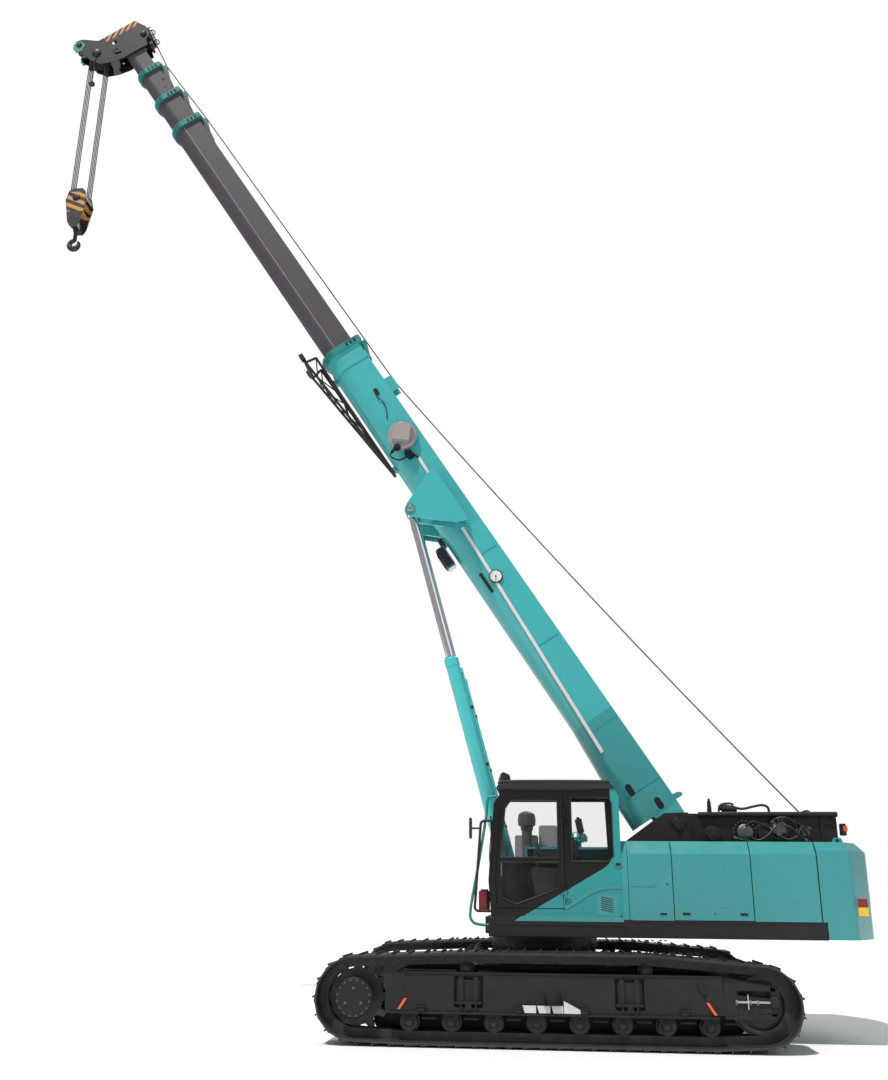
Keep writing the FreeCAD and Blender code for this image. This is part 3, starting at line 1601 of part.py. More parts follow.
def make_boom_base():
    """The base section with its foot, lug brackets, cable reel bracket, dial and rope guide."""
    shell = prism(
        "YZ",
        boom_form("base_wide", "base_deep"),
        "620",
        "base_end",
        windows=(boom_form("base_wide", "base_deep", "boom_wall"),),
    )
    foot = []
    for near in ("-base_wide / 2", "base_wide / 2 - 42"):
        foot.append(
            prism(
                "XZ",
                [
                    ("-foot_radius - 60", "-60"),
                    ("-foot_radius - 60", "60"),
                    ("-60", "base_top - 20"),
                    ("200", "base_top"),
                    ("foot_end", "base_top"),
                    ("foot_end", "base_top - base_deep + 230"),
                    ("560", "base_top - base_deep + 210"),
                    ("60", "-foot_radius - 75"),
                    ("-60", "-foot_radius - 60"),
                ],
                near,
                near + " + 42",
                circles=(("0", "0", "foot_radius + seat_clear"),),
            )
        )
    tie = box(("560", "600"), ("-base_wide / 2 + 5", "base_wide / 2 - 5"), ("base_top - base_deep + 230", "base_top - 5"))
    lugs = []
    for near, far in (("base_wide / 2 - 5", "lug_inner"), ("lug_outer", "lug_outer + 28")):
        lugs.append(
            prism(
                "XZ",
                [
                    ("lug_along - 620", "10"),
                    ("lug_along - 560", "-170"),
                    ("lug_along - 90", "-lug_drop - 70"),
                    ("lug_along + 20", "-lug_drop - 90"),
                    ("lug_along + 100", "-lug_drop"),
                    ("lug_along + 330", "-150"),
                    ("lug_along + 360", "10"),
                ],
                near,
                far,
            )
        )
    plate = box(("lug_along - 600", "lug_along + 340"), ("base_wide / 2 - 5", "lug_outer + 5"), ("-40", "0"))
    eye_room = box(("lug_along - 180", "lug_along + 100"), ("lug_inner", "lug_outer"), ("-45", "5"))
    shelf = cut(plate, eye_room)
    eye_low = "cylinder_side - eye_half - 4"
    eye_high = "cylinder_side + eye_half + 4"
    pins = [
        rod("y", "lug_inner - 2", eye_low, "lug_along", "-lug_drop", "pin_radius + 25"),
        rod("y", eye_high, "lug_outer + 2", "lug_along", "-lug_drop", "pin_radius + 25"),
        rod("y", "lug_outer + 20", "lug_outer + 50", "lug_along", "-lug_drop", "pin_radius"),
    ]
    lug_set = both(fuse(*lugs, shelf, *pins))
    ring = collar("base_wide", "base_deep", "second_wide", "second_deep", "base_end")
    band = prism(
        "YZ",
        boom_form("base_wide + 24", "base_deep + 24"),
        "base_end - 420",
        "base_end - 300",
        windows=(boom_form("base_wide", "base_deep", "boom_wall / 2"),),
    )
    guide = fuse(
        box(("7700", "7960"), ("-110", "-90"), ("base_top - 5", "base_top + 150")),
        box(("7700", "7960"), ("90", "110"), ("base_top - 5", "base_top + 150")),
        rod("y", "-95", "95", "7830", "base_top + 110", "36"),
    )
    reel_hub = rod("y", "base_wide / 2 - 5", "base_wide / 2 + 30", "6860", "-80", "60")
    dial_seat = rod("y", "base_wide / 2 - 5", "base_wide / 2 + 12", "4200", "-110", "95")
    run = "(jib_root - 60 - jib_tip)"
    rise = "(jib_rear_top - jib_front + 2)"
    saddles = [
        box(
            ("jib_tip + " + run + " * " + share + " - 45", "jib_tip + " + run + " * " + share + " + 45"),
            ("-50", "50"),
            ("-jib_front + 2 - " + rise + " * " + share + " + jib_chord + seat_clear", "base_top - base_deep + 8"),
        )
        for share in ("0.03", "jib_saddle_share")
    ]
    lamp = fuse(
        box(("5080", "5200"), ("-60", "60"), ("base_top - base_deep - 70", "base_top - base_deep + 12")),
        box(("4760", "5090"), ("-95", "95"), ("base_top - base_deep - 190", "base_top - base_deep - 60")),
    )
    return fuse(shell, *foot, tie, lug_set, ring, band, guide, reel_hub, dial_seat, lamp, *saddles)


on_boom("boom_base", make_boom_base())


def make_cable_reel():
    """The spring reel for the head's cable: a drum in a square-cornered cover on the left side."""
    cover = turned(
        [("0", "0"), ("225", "0"), ("225", "70"), ("205", "90"), ("120", "95"), ("110", "125"), ("0", "125")],
        ("6860", "-80"),
        "base_wide / 2 + 30.3",
    )
    return group(cover)


on_boom("cable_reel", make_cable_reel())
DIAL = [("0", "0"), ("100", "0"), ("100", "16"), ("86", "24"), ("0", "24")]
on_boom("angle_dial", group(turned(DIAL, ("4200", "-110"), "base_wide / 2 + 12.3")))


def strut(start, stop, radius):
    """A round tube between two points along the boom, made solid."""
    start, stop = Vector(*start), Vector(*stop)
    return Part.makeCylinder(radius, (stop - start).Length, start, stop - start)


def make_jib():
    """The stowed lattice jib under the base: a flat A-frame, its forks at the base's collar."""
    tip, root = value("jib_tip"), value("jib_root")
    chord, lace = value("jib_chord"), value("jib_chord") / 2
    ends = {
        "low": ((tip, 60, -value("jib_front")), (root, value("jib_fork"), -value("jib_hang"))),
        "top": ((tip, 60, -value("jib_front") + 2), (root - 60, value("jib_fork") - 75, -value("jib_rear_top"))),
    }

    def at(line, share, side):
        start, stop = ends[line]
        x, y, z = (start[axis] + (stop[axis] - start[axis]) * share for axis in range(3))
        return (x, side * y, z)

    made = []
    for line in ends:
        for side in (1, -1):
            made.append(strut(at(line, 0, side), at(line, 1, side), chord))
    bays = 6
    for bay in range(1, bays):
        share, further = bay / bays, (bay + 1) / bays
        for side in (1, -1):
            first, last = ("low", "top") if bay % 2 else ("top", "low")
            made.append(strut(at(first, share, side), at(last, further, side), lace))
        made.append(strut(at("low", share, 1), at("low", share, -1), lace))
        turn = 1 if bay % 2 else -1
        made.append(strut(at("low", share, turn), at("low", further, -turn), lace))
    for share in (0.03, value("jib_saddle_share")):
        made.append(strut(at("top", share, 1), at("top", share, -1), chord))
    made.append(strut(at("low", 0.97, 1), at("low", 0.97, -1), chord + 8))
    for side in (1, -1):
        made.append(strut(at("low", 0.97, side), at("top", 1, side), chord))
        x, y, z = at("low", 1, side)
        made.append(Part.makeBox(40, 84, 70, Vector(x - 30, y - 42, z - 35)))
        for cheek in (-42, 26):
            made.append(Part.makeBox(110, 16, 70, Vector(x - 30, y + cheek, z - 35)))
    return made[0].multiFuse(made[1:])


def make_jib_node():
    made = doc.addObject("Part::Feature", "LatticeJib")
    made.Shape = make_jib()
    return made


on_boom("stowed_jib", make_jib_node())


def make_section(name, following):
    """A moving section with the collar that carries the next one."""
    wide, deep = name + "_wide", name + "_deep"
    shell = section(wide, deep, name + "_start", name + "_end")
    ring = collar(wide, deep, following + "_wide", following + "_deep", name + "_end")
    shoe = prism(
        "YZ",
        boom_form("base_wide - 2 * boom_wall - 2 * seat_clear", "base_deep - 2 * boom_wall - 2 * seat_clear")
        if name == "second"
        else boom_form(PREVIOUS[name] + "_wide - 2 * boom_wall - 2 * seat_clear", PREVIOUS[name] + "_deep - 2 * boom_wall - 2 * seat_clear"),
        name + "_start",
        name + "_start + 160",
        windows=(boom_form(wide, deep, "boom_wall / 2"),),
    )
    rise = "base_top - (base_deep - %s_deep) / 2" % name
    gusset = prism(
        "XZ",
        [
            (name + "_end - 60", rise + " - 4"),
            (name + "_end", rise + " + collar_thick - 2"),
            (name + "_end", rise + " + collar_thick + 52"),
            (name + "_end - collar_long", rise + " + collar_thick + 52"),
            (name + "_end - 600", rise + " + 34"),
            (name + "_end - 600", rise + " - 4"),
        ],
        "-110",
        "110",
    )
    gusset_room = box(
        (name + "_end - 700", name + "_end - collar_long - 10"),
        ("-94", "94"),
        (rise + " + 0", rise + " + 200"),
    )
    return fuse(shell, ring, shoe, cut(gusset, gusset_room))


PREVIOUS = {"third": "second", "fourth": "third", "fifth": "fourth"}
for name, following in SECTIONS:
    on_boom("boom_section_" + {"second": "2", "third": "3", "fourth": "4"}[name], make_section(name, following))


def make_fifth():
    """The innermost section, up to the flange that the boom head is welded to."""
    shell = section("fifth_wide", "fifth_deep", "fifth_start", "fifth_end")
    shoe = prism(
        "YZ",
        boom_form("fourth_wide - 2 * boom_wall - 2 * seat_clear", "fourth_deep - 2 * boom_wall - 2 * seat_clear"),
        "fifth_start",
        "fifth_start + 160",
        windows=(boom_form("fifth_wide", "fifth_deep", "boom_wall / 2"),),
    )
    return fuse(shell, shoe)


on_boom("boom_section_5", make_fifth())


def make_head():
    """Two side plates with the pins of the head, guide and auxiliary sheaves."""
    plate = [
        ("fifth_end - 190", "-fifth_deep + 10"),
        ("fifth_end - 145", "-head_pin_drop + 140"),
        ("head_pin_along - 270", "-head_pin_drop - 60"),
        ("head_pin_along - 80", "-head_pin_drop - 170"),
        ("aux_along - 150", "-aux_drop - 60"),
        ("aux_along - 60", "-aux_drop - 105"),
        ("aux_along + 60", "-aux_drop - 95"),
        ("aux_along + 110", "-aux_drop"),
        ("aux_along + 90", "-aux_drop + 100"),
        ("head_pin_along + 230", "-head_pin_drop + 150"),
        ("head_pin_along + 230", "guide_rise + 5"),
        ("guide_along + 120", "guide_rise + 115"),
        ("guide_along - 60", "guide_rise + 115"),
        ("guide_along - 150", "guide_rise - 20"),
        ("fifth_end - 190", "160"),
    ]
    sides = both(
        prism(
            "XZ",
            plate,
            "head_half",
            "head_half + head_plate",
            circles=(("fifth_end + 230", "-330", "50"), ("fifth_end + 40", "-375", "25")),
        )
    )
    cheeks = both(
        box(
            ("fifth_end - 185", "fifth_end + 5"),
            ("fifth_wide / 2 + seat_clear", "head_half + 2"),
            ("-150", "120"),
        )
    )
    ties = [
        box(("fifth_end + 10", "fifth_end + 26"), ("-head_half - 2", "head_half + 2"), ("-310", "70")),
        box(("fifth_end + 20", "head_pin_along + 225"), ("-head_half - 2", "head_half + 2"), ("-12", "4")),
        box(("head_pin_along + 205", "head_pin_along + 225"), ("-head_half - 2", "head_half + 2"), ("-320", "180")),
    ]
    pins = [
        rod("y", "-head_half - head_plate - 28", "head_half + head_plate + 28", "head_pin_along", "-head_pin_drop", "42"),
        rod("y", "-head_half - head_plate - 12", "head_half + head_plate + 12", "guide_along", "guide_rise", "30"),
        rod("y", "-head_half - head_plate - 12", "head_half + head_plate + 12", "aux_along", "-aux_drop", "30"),
    ]
    ear = [
        ("fifth_end - 40", "-320"),
        ("fifth_end + 120", "-320"),
        ("fifth_end + 90", "-430"),
        ("fifth_end - 10", "-430"),
    ]
    jib_ears = both(
        prism("XZ", ear, "head_half - 2", "head_half + head_plate + 14", circles=(("fifth_end + 40", "-375", "25"),))
    )
    flange = prism(
        "YZ",
        boom_form("fifth_wide", "fifth_deep"),
        "fifth_end + seat_clear",
        "fifth_end + 12",
    )
    return fuse(sides, cheeks, flange, *ties, *pins, jib_ears)


on_boom("boom_head", make_head())


def sheave(along_text, up_text, middle, radius, bore, thick="sheave_thick"):
    """A rope sheave with its groove, on a pin."""
    return turned(
        [
            (bore, "-(%s) / 2" % thick),
            (radius, "-(%s) / 2" % thick),
            (radius, "-(%s) / 2 + 7" % thick),
            (radius + " - groove_deep", "-6"),
            (radius + " - groove_deep", "6"),
            (radius, "(%s) / 2 - 7" % thick),
            (radius, "(%s) / 2" % thick),
            (bore, "(%s) / 2" % thick),
        ],
        (along_text, up_text),
        middle,
    )


def make_head_sheaves():
    made = []
    for number in range(int(value("sheave_many"))):
        middle = "sheave_step * (%d - (sheave_many - 1) / 2)" % number
        made.append(sheave("head_pin_along", "-head_pin_drop", middle, "sheave_radius", "42 + seat_clear"))
    made.append(sheave("guide_along", "guide_rise", "-rope_side", "aux_radius", "30 + seat_clear"))
    made.append(sheave("guide_along", "guide_rise", "rope_side", "aux_radius", "30 + seat_clear"))
    made.append(sheave("aux_along", "-aux_drop", "0", "aux_radius * 0.8", "30 + seat_clear"))
    return group(*made)


on_boom("head_sheaves", make_head_sheaves())

# ---------------------------------------------------------------- luffing cylinders
LUFF = math.radians(value("luff_angle"))
LUG_X = value("foot_place") + value("lug_along") * math.cos(LUFF) + value("lug_drop") * math.sin(LUFF)
LUG_Z = value("foot_high") + value("lug_along") * math.sin(LUFF) - value("lug_drop") * math.cos(LUFF)
CYLINDER_LONG = math.hypot(LUG_X - value("cylinder_foot"), LUG_Z - value("cylinder_foot_high"))
CYLINDER_LEAN = math.degrees(math.atan2(LUG_Z - value("cylinder_foot_high"), LUG_X - value("cylinder_foot")))


def on_cylinder(name, made):
    """A node drawn along the cylinder from its foot pin, then turned to point at the lug."""
    turn = FreeCAD.Rotation(Y_AXIS, -CYLINDER_LEAN)
    made.Placement = FreeCAD.Placement(Vector(value("cylinder_foot"), 0, value("cylinder_foot_high")), turn)
    return node(name, made)


def make_barrel():
    """A hollow barrel with its foot eye, gland and hose ports."""
    tube_side = turned(
        [
            ("0", "120"),
            ("barrel_radius", "120"),
            ("barrel_radius", "barrel_long - 130"),
            ("barrel_radius + 6", "barrel_long - 125"),
            ("barrel_radius + 6", "barrel_long - 20"),
            ("barrel_radius - 8", "barrel_long"),
            ("rod_radius + seat_clear", "barrel_long"),
            ("rod_radius + seat_clear", "barrel_long - 160"),
            ("barrel_radius - 14", "barrel_long - 160"),
            ("barrel_radius - 14", "200"),
            ("0", "200"),
        ],
        ("0", "0"),
        "0",
    )
    tube_side.Placement = FreeCAD.Placement(Vector(), FreeCAD.Rotation(Z_AXIS, -90))
    eye = prism(
        "XZ",
        [("-88", "-40"), ("-60", "-88"), ("60", "-88"), ("150", "-70"), ("150", "70"), ("60", "88"), ("-60", "88"), ("-88", "40")],
        "-eye_half",
        "eye_half",
        circles=(("0", "0", "pin_radius + seat_clear"),),
    )
    port = box(("260", "330"), ("-30", "30"), ("barrel_radius - 8", "barrel_radius + 34"))
    far_port = box(("barrel_long - 240", "barrel_long - 180"), ("-26", "26"), ("barrel_radius - 8", "barrel_radius + 30"))
    pipe = rod("x", "325", "barrel_long - 235", "0", "barrel_radius + 16", "11")
    return fuse(tube_side, eye, port, far_port, pipe)


def make_pair(make):
    """A cylinder part on each side of the boom, as one node's two solids."""
    single = make()
    doc.recompute()
    made = doc.addObject("Part::Feature", fresh("Pair"))
    copies = []
    for side in (-1, 1):
        copy = single.Shape.copy()
        copy.translate(Vector(0, side * value("cylinder_side"), 0))
        copies.append(copy)
    made.Shape = Part.makeCompound(copies)
    return made


def make_whole_rod():
    """Rod, piston and eye, as long as the pins are apart."""
    reach = CYLINDER_LONG
    piston = value("barrel_radius - 15")
    thin = value("rod_radius")
    profile = [
        (0, reach - 3355),
        (piston, reach - 3355),
        (piston, reach - 3265),
        (thin, reach - 3265),
        (thin, reach - 80),
        (0, reach - 80),
    ]
    wire = Part.makePolygon([Vector(x, 0, r) for r, x in profile] + [Vector(profile[0][1], 0, 0)])
    shape = Part.Face(wire).revolve(Vector(), X_AXIS, 360)
    half = value("eye_half")
    eye_body = Part.makeCylinder(90, 2 * half, Vector(reach, -half, 0), Y_AXIS)
    bore = Part.makeCylinder(value("pin_radius") - 6, 2 * half + 4, Vector(reach, -half - 2, 0), Y_AXIS)
    made = doc.addObject("Part::Feature", fresh("Rod"))
    made.Shape = shape.fuse(eye_body).cut(bore)
    return made


on_cylinder("luffing_barrels", make_pair(make_barrel))
on_cylinder("luffing_rods", make_pair(make_whole_rod))

# ---------------------------------------------------------------- hook
HEAD_X = value("foot_place") + value("head_pin_along") * math.cos(LUFF) + value("head_pin_drop") * math.sin(LUFF)
HEAD_Z = value("foot_high") + value("head_pin_along") * math.sin(LUFF) - value("head_pin_drop") * math.cos(LUFF)
FALLS_X = HEAD_X
FALL_STEP = value("sheave_radius - groove_deep + rope_radius + seat_clear")


def make_hook_block():
    """The block: two cheek plates round its sheaves, a trunnion below, on the falls' line."""
    x = "%.3f" % FALLS_X
    cheek = [
        (x + " - 150", "block_top - 60"),
        (x + " - 90", "block_top"),
        (x + " + 90", "block_top"),
        (x + " + 150", "block_top - 60"),
        (x + " + 190", "block_top - 230"),
        (x + " + 110", "block_top - block_deep + 90"),
        (x + " + 60", "block_top - block_deep"),
        (x + " - 60", "block_top - block_deep"),
        (x + " - 110", "block_top - block_deep + 90"),
        (x + " - 190", "block_top - 230"),
    ]
    sides = both(prism("XZ", cheek, "block_wide - 22", "block_wide"))
    sheaves = []
    for number in range(int(value("sheave_many"))):
        middle = "sheave_step * (%d - (sheave_many - 1) / 2)" % number
        sheaves.append(sheave(x, "block_top - 190", middle, "sheave_radius", "38"))
    axle = rod("y", "-block_wide - 14", "block_wide + 14", x, "block_top - 190", "38.2")
    trunnion = box((x + " - 55", x + " + 55"), ("-block_wide + 20", "block_wide - 20"), ("block_top - block_deep + 20", "block_top - block_deep + 130"))
    guard = box((x + " - 100", x + " + 100"), ("-block_wide + 20", "block_wide - 20"), ("block_top - 410", "block_top - 385"))
    return fuse(sides, *sheaves, axle, trunnion, guard)


node("hook_block", make_hook_block())


def make_hook():
    """The forged hook: shank, bowl and point, tapering to its tip, with the safety latch."""
    top = value("block_top - block_deep")
    centre = Vector(FALLS_X, 0, value("hook_drop"))
    bowl = 82
    thick = 36
    shank_top = top + 20 - value("seat_clear")
    shank = Part.makeCylinder(34, shank_top - centre.z - 100, Vector(FALLS_X, 0, centre.z + 100))
    nut = Part.makeCylinder(52, 40, Vector(FALLS_X, 0, shank_top - 40))
    sections = []
    for angle, radius in ((95, 34), (40, 38), (-10, 44), (-60, 50), (-110, 48), (-160, 38), (-205, 26), (-222, 16)):
        turn = math.radians(angle)
        place = centre + Vector(math.cos(turn), 0, math.sin(turn)) * bowl
        heading = Vector(math.sin(turn), 0, -math.cos(turn))
        sections.append(Part.Wire(Part.makeCircle(radius, place, heading)))
    curve = Part.makeLoft(sections, True, False)
    neck = Part.makeCylinder(34, 100, Vector(FALLS_X, 0, centre.z + bowl - 6))
    made = doc.addObject("Part::Feature", "CraneHook")
    made.Shape = shank.multiFuse([nut, curve, neck])
    return made


node("crane_hook", make_hook())


def make_falls():
    """The hoist rope's falls, tangent to the head's and the block's sheaves."""
    low = value("block_top") - 190
    falls = []
    for number in range(int(value("sheave_many"))):
        y = value("sheave_step") * (number - (value("sheave_many") - 1) / 2)
        for side in (-1, 1):
            start = Vector(FALLS_X + side * FALL_STEP, y, low)
            falls.append(Part.makeCylinder(value("rope_radius"), HEAD_Z - low, start))
    made = doc.addObject("Part::Feature", "HoistFalls")
    made.Shape = Part.makeCompound(falls)
    return made


node("hoist_falls", make_falls())


def make_hoist_weight():
    """The ball that trips the hoist's limit switch, on a thin hanger from the end of the head's pin."""
    near = value("head_half + head_plate") + 4
    ring = Part.makeCylinder(58, 16, Vector(HEAD_X, near, HEAD_Z), Y_AXIS)
    bore = Part.makeCylinder(42 + value("seat_clear"), 20, Vector(HEAD_X, near - 2, HEAD_Z), Y_AXIS)
    hanger = Part.makeCylinder(6, 640, Vector(HEAD_X, near + 8, HEAD_Z - 690))
    ball = Part.makeSphere(52, Vector(HEAD_X, near + 8, HEAD_Z - 720))
    made = doc.addObject("Part::Feature", "HoistWeight")
    made.Shape = ring.cut(bore).multiFuse([hanger, ball])
    return made


node("over_hoist_weight", make_hoist_weight())

# ---------------------------------------------------------------- checks and export
def check_and_write():
    """Stops on a failed object, then writes each node's solids."""
    doc.recompute()
    for item in doc.Objects:
        if "Invalid" in item.State or "Error" in item.State:
            raise RuntimeError("failed: %s %s %s" % (item.Name, item.Label, item.State))
    for name, made in NODES.items():
        if made.Shape.isNull() or not made.Shape.isValid() or not made.Shape.Solids:
            raise RuntimeError("bad shape: " + name)
    os.makedirs("parts", exist_ok=True)
    for name, made in NODES.items():
        made.Shape.exportStep("parts/%s.step" % name)
        print("%-24s %2d solids %9.4f m3" % (name, len(made.Shape.Solids), made.Shape.Volume / 1e9))


check_and_write()
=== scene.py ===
"""Looks of a crawler crane with a telescopic boom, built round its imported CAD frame.

Lengths are in metres. s and q are places along the boom and above its middle, in the boom's own frame.
"""

import json
import math

import bmesh
import bpy
from mathutils import Matrix, Vector


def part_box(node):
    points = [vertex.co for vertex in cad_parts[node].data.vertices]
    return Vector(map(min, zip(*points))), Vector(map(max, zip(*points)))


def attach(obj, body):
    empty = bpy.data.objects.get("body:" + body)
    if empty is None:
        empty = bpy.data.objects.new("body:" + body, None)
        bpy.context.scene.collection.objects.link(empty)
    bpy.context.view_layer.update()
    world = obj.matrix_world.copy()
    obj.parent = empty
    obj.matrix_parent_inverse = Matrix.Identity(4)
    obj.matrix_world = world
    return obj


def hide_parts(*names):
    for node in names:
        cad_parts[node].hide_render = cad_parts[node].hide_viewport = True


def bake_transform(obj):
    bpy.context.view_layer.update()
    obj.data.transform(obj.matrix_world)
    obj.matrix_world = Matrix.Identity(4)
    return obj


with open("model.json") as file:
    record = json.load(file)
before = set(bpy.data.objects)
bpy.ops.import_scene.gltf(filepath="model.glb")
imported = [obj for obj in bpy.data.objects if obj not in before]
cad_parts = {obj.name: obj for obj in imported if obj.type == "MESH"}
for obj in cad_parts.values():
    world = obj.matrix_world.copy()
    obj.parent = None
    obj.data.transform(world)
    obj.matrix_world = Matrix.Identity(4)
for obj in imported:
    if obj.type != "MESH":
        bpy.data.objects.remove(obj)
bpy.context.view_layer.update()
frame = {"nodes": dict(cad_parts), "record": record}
NODES = frame["nodes"]
JOINTS = {joint["name"]: joint for joint in frame["record"]["behaviour"]["joints"]}

X, Y, Z = Vector((1, 0, 0)), Vector((0, 1, 0)), Vector((0, 0, 1))


def middle(node):
    """The middle of a node's box."""
    low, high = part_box(node)
    return (Vector(low) + Vector(high)) / 2


def span(side, near, far):
    """Two places across on one side of the machine, the lower one first."""
    return sorted((side * near, side * far))


def about(place, half):
    """The two ends of what reaches half to each side of a place."""
    return place - half, place + half


def oblong(x, z, past_x, past_z):
    """The outline of a rectangle."""
    return [(x, z), (past_x, z), (past_x, past_z), (x, past_z)]


def disc(*steps):
    """A turned outline that is closed at both ends. Each step is (radius, place along the line)."""
    return [(0, steps[0][1]), *steps, (0, steps[-1][1])]


def circle(radius, many, start=0.0, step=None):
    """Places round a circle, as pairs, from a starting angle in degrees."""
    for k in range(many):
        angle = math.radians(start + k * (step or 360 / many))
        yield radius * math.cos(angle), radius * math.sin(angle)


# ---------------- places read from the frame
FOOT = Vector(JOINTS["boom_luff"]["pos_m"])
ALONG = Vector(JOINTS["section_3_slide"]["axis"]).normalized()
UP = Vector((-ALONG.z, 0, ALONG.x))
HEAD_PIN = Vector(JOINTS["hoist_hang"]["pos_m"])
CYLINDER_FOOT = Vector(JOINTS["barrel_tilt"]["pos_m"])
CYLINDER_ALONG = Vector(JOINTS["rod_slide"]["axis"]).normalized()


def frame_of(origin, first, third):
    """A matrix with its own X along the first direction and its own Z along the third."""
    second = third.cross(first)
    turned = Matrix((first, second, third)).transposed().to_4x4()
    return Matrix.Translation(origin) @ turned


BOOM = frame_of(FOOT, ALONG, UP)
CYLINDER = frame_of(CYLINDER_FOOT, CYLINDER_ALONG, Vector((-CYLINDER_ALONG.z, 0, CYLINDER_ALONG.x)))


def boom_place(node_place):
    """A point of the row frame in the boom's own frame."""
    return BOOM.inverted() @ Vector(node_place)


DECK = "superstructure"
# the base's section and end; each inner section's node, end, half width and depth, in the boom's frame
BASE_HALF = 0.25
BASE_TOP = 0.2
BASE_LOW = -0.42
BASE_DEEP = 0.62
SECTIONS = {
    "section_2": {"node": "boom_section_2", "end": 14.3, "half": 0.206, "deep": 0.505},
    "section_3": {"node": "boom_section_3", "end": 15.05, "half": 0.178, "deep": 0.45},
    "section_4": {"node": "boom_section_4", "end": 15.8, "half": 0.151, "deep": 0.398},
}
BASE_END = 8.8
COLLAR = 0.11
# how far a collar bracket's rod stands over its section, and the rope's middle over that rod
BRACKET_ROD = 0.118
ROPE_OVER_ROD = 0.031
# places along and above the boom of the head's upper wheel and of the cylinders' lug pin
GUIDE_WHEEL = (16.56, 0.205)
LUG_PIN = (5.69, -0.62)
# X and Z of the roller that leads the rope off the drum, and the barrels' length and distance from the middle
ROPE_ROLLER = (-3.5, 2.655)
BARREL_LONG = 3.25
BARREL_ACROSS = 0.41
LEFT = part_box("left_housing")[1][1]
DECK_LOW, DECK_HIGH = 1.16, 1.36
PANEL_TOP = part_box("left_housing")[1][2]
CAB_LOW, CAB_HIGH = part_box("cab_shell")


def section_top(part):
    """The top of a section, whose middle lies on the base's middle."""
    return BASE_TOP - (BASE_DEEP - part["deep"]) / 2


def turned_by(degrees, axis):
    """A turn about one axis."""
    return Matrix.Rotation(math.radians(degrees), 3, axis)


# ---------------- materials
# the colour sockets of Blender's mix node, which also has sockets of the same names for numbers
MIX_FACTOR, MIX_FIRST, MIX_SECOND, MIX_RESULT = 0, 6, 7, 2


class Finish:
    """A node material whose colour is painted from layers placed in the object's own space."""

    def __init__(self, name, roughness=0.4, metallic=0.0):
        self.material = bpy.data.materials.new(name)
        self.material.use_nodes = True
        self.tree = self.material.node_tree
        self.shader = self.tree.nodes["Principled BSDF"]
        self.shader.inputs["Metallic"].default_value = metallic
        self.shader.inputs["Roughness"].default_value = roughness
        self.place = self.new("ShaderNodeTexCoord").outputs["Object"]

    def new(self, kind, **settings):
        made = self.tree.nodes.new(kind)
        for key, setting in settings.items():
            setattr(made, key, setting)
        return made

    def feed(self, socket, source):
        if isinstance(source, bpy.types.NodeSocket):
            self.tree.links.new(source, socket)
        else:
            socket.default_value = source

    def math(self, operation, first, second=0.0, third=0.0, clamp=False):
        made = self.new("ShaderNodeMath", operation=operation, use_clamp=clamp)
        for socket, source in zip(made.inputs, (first, second, third)):
            self.feed(socket, source)
        return made.outputs[0]

    def reach(self, direction, start=(0, 0, 0)):
        """How far each point lies along a direction, past a starting point."""
        made = self.new("ShaderNodeVectorMath", operation="DOT_PRODUCT")
        self.feed(made.inputs[0], self.place)
        made.inputs[1].default_value = direction
        return self.math("SUBTRACT", made.outputs["Value"], Vector(direction).dot(Vector(start)))

    def over(self, amount, edge, soft=0.002):
        """1 where an amount is over an edge, and 0 below it."""
        return self.math("MULTIPLY_ADD", self.math("SUBTRACT", amount, edge), 1 / soft, 0.5, clamp=True)

    def within(self, amount, low, high):
        return self.math(
            "MULTIPLY", self.over(amount, low), self.over(self.math("MULTIPLY", amount, -1.0), -high)
        )

    def noise(self, scale, detail=4.0, stretch=None):
        source = self.place
        if stretch:
            mapping = self.new("ShaderNodeMapping")
            mapping.inputs["Scale"].default_value = stretch
            self.feed(mapping.inputs["Vector"], source)
            source = mapping.outputs[0]
        made = self.new("ShaderNodeTexNoise")
        made.inputs["Scale"].default_value = scale
        made.inputs["Detail"].default_value = detail
        self.feed(made.inputs["Vector"], source)
        return made.outputs["Fac"]

    def mix(self, factor, first, second, blend="MIX"):
        made = self.new("ShaderNodeMix", data_type="RGBA", blend_type=blend)
        self.feed(made.inputs[MIX_FACTOR], factor)
        self.feed(made.inputs[MIX_FIRST], first)
        self.feed(made.inputs[MIX_SECOND], second)
        return made.outputs[MIX_RESULT]

    def rough(self, low, high, scale=6.0):
        spread = self.new("ShaderNodeMapRange")
        self.feed(spread.inputs["Value"], self.noise(scale, 6.0))
        spread.inputs["From Min"].default_value = 0.3
        spread.inputs["From Max"].default_value = 0.7
        spread.inputs["To Min"].default_value = low
        spread.inputs["To Max"].default_value = high
        self.feed(self.shader.inputs["Roughness"], spread.outputs[0])

    def bump(self, height, strength, distance):
        made = self.new("ShaderNodeBump")
        made.inputs["Strength"].default_value = strength
        made.inputs["Distance"].default_value = distance
        self.feed(made.inputs["Height"], height)
        if self.shader.inputs["Normal"].links:
            self.feed(made.inputs["Normal"], self.shader.inputs["Normal"].links[0].from_socket)
        self.feed(self.shader.inputs["Normal"], made.outputs[0])

    def colour(self, source):
        self.feed(self.shader.inputs["Base Color"], source)
        return self.material


def shade(colour, factor):
    return (*[min(1.0, part * factor) for part in colour[:3]], 1.0)


TEAL = (0.038, 0.335, 0.345, 1)
TEAL_DEEP = (0.012, 0.195, 0.185, 1)
DARK = (0.017, 0.0145, 0.018, 1)
BLACK = (0.009, 0.008, 0.01, 1)
GREY = (0.062, 0.055, 0.066, 1)
STRIPE = (0.56, 0.255, 0.055, 1)
DUST = (0.23, 0.21, 0.195, 1)
ORANGE = (0.72, 0.105, 0.025, 1)


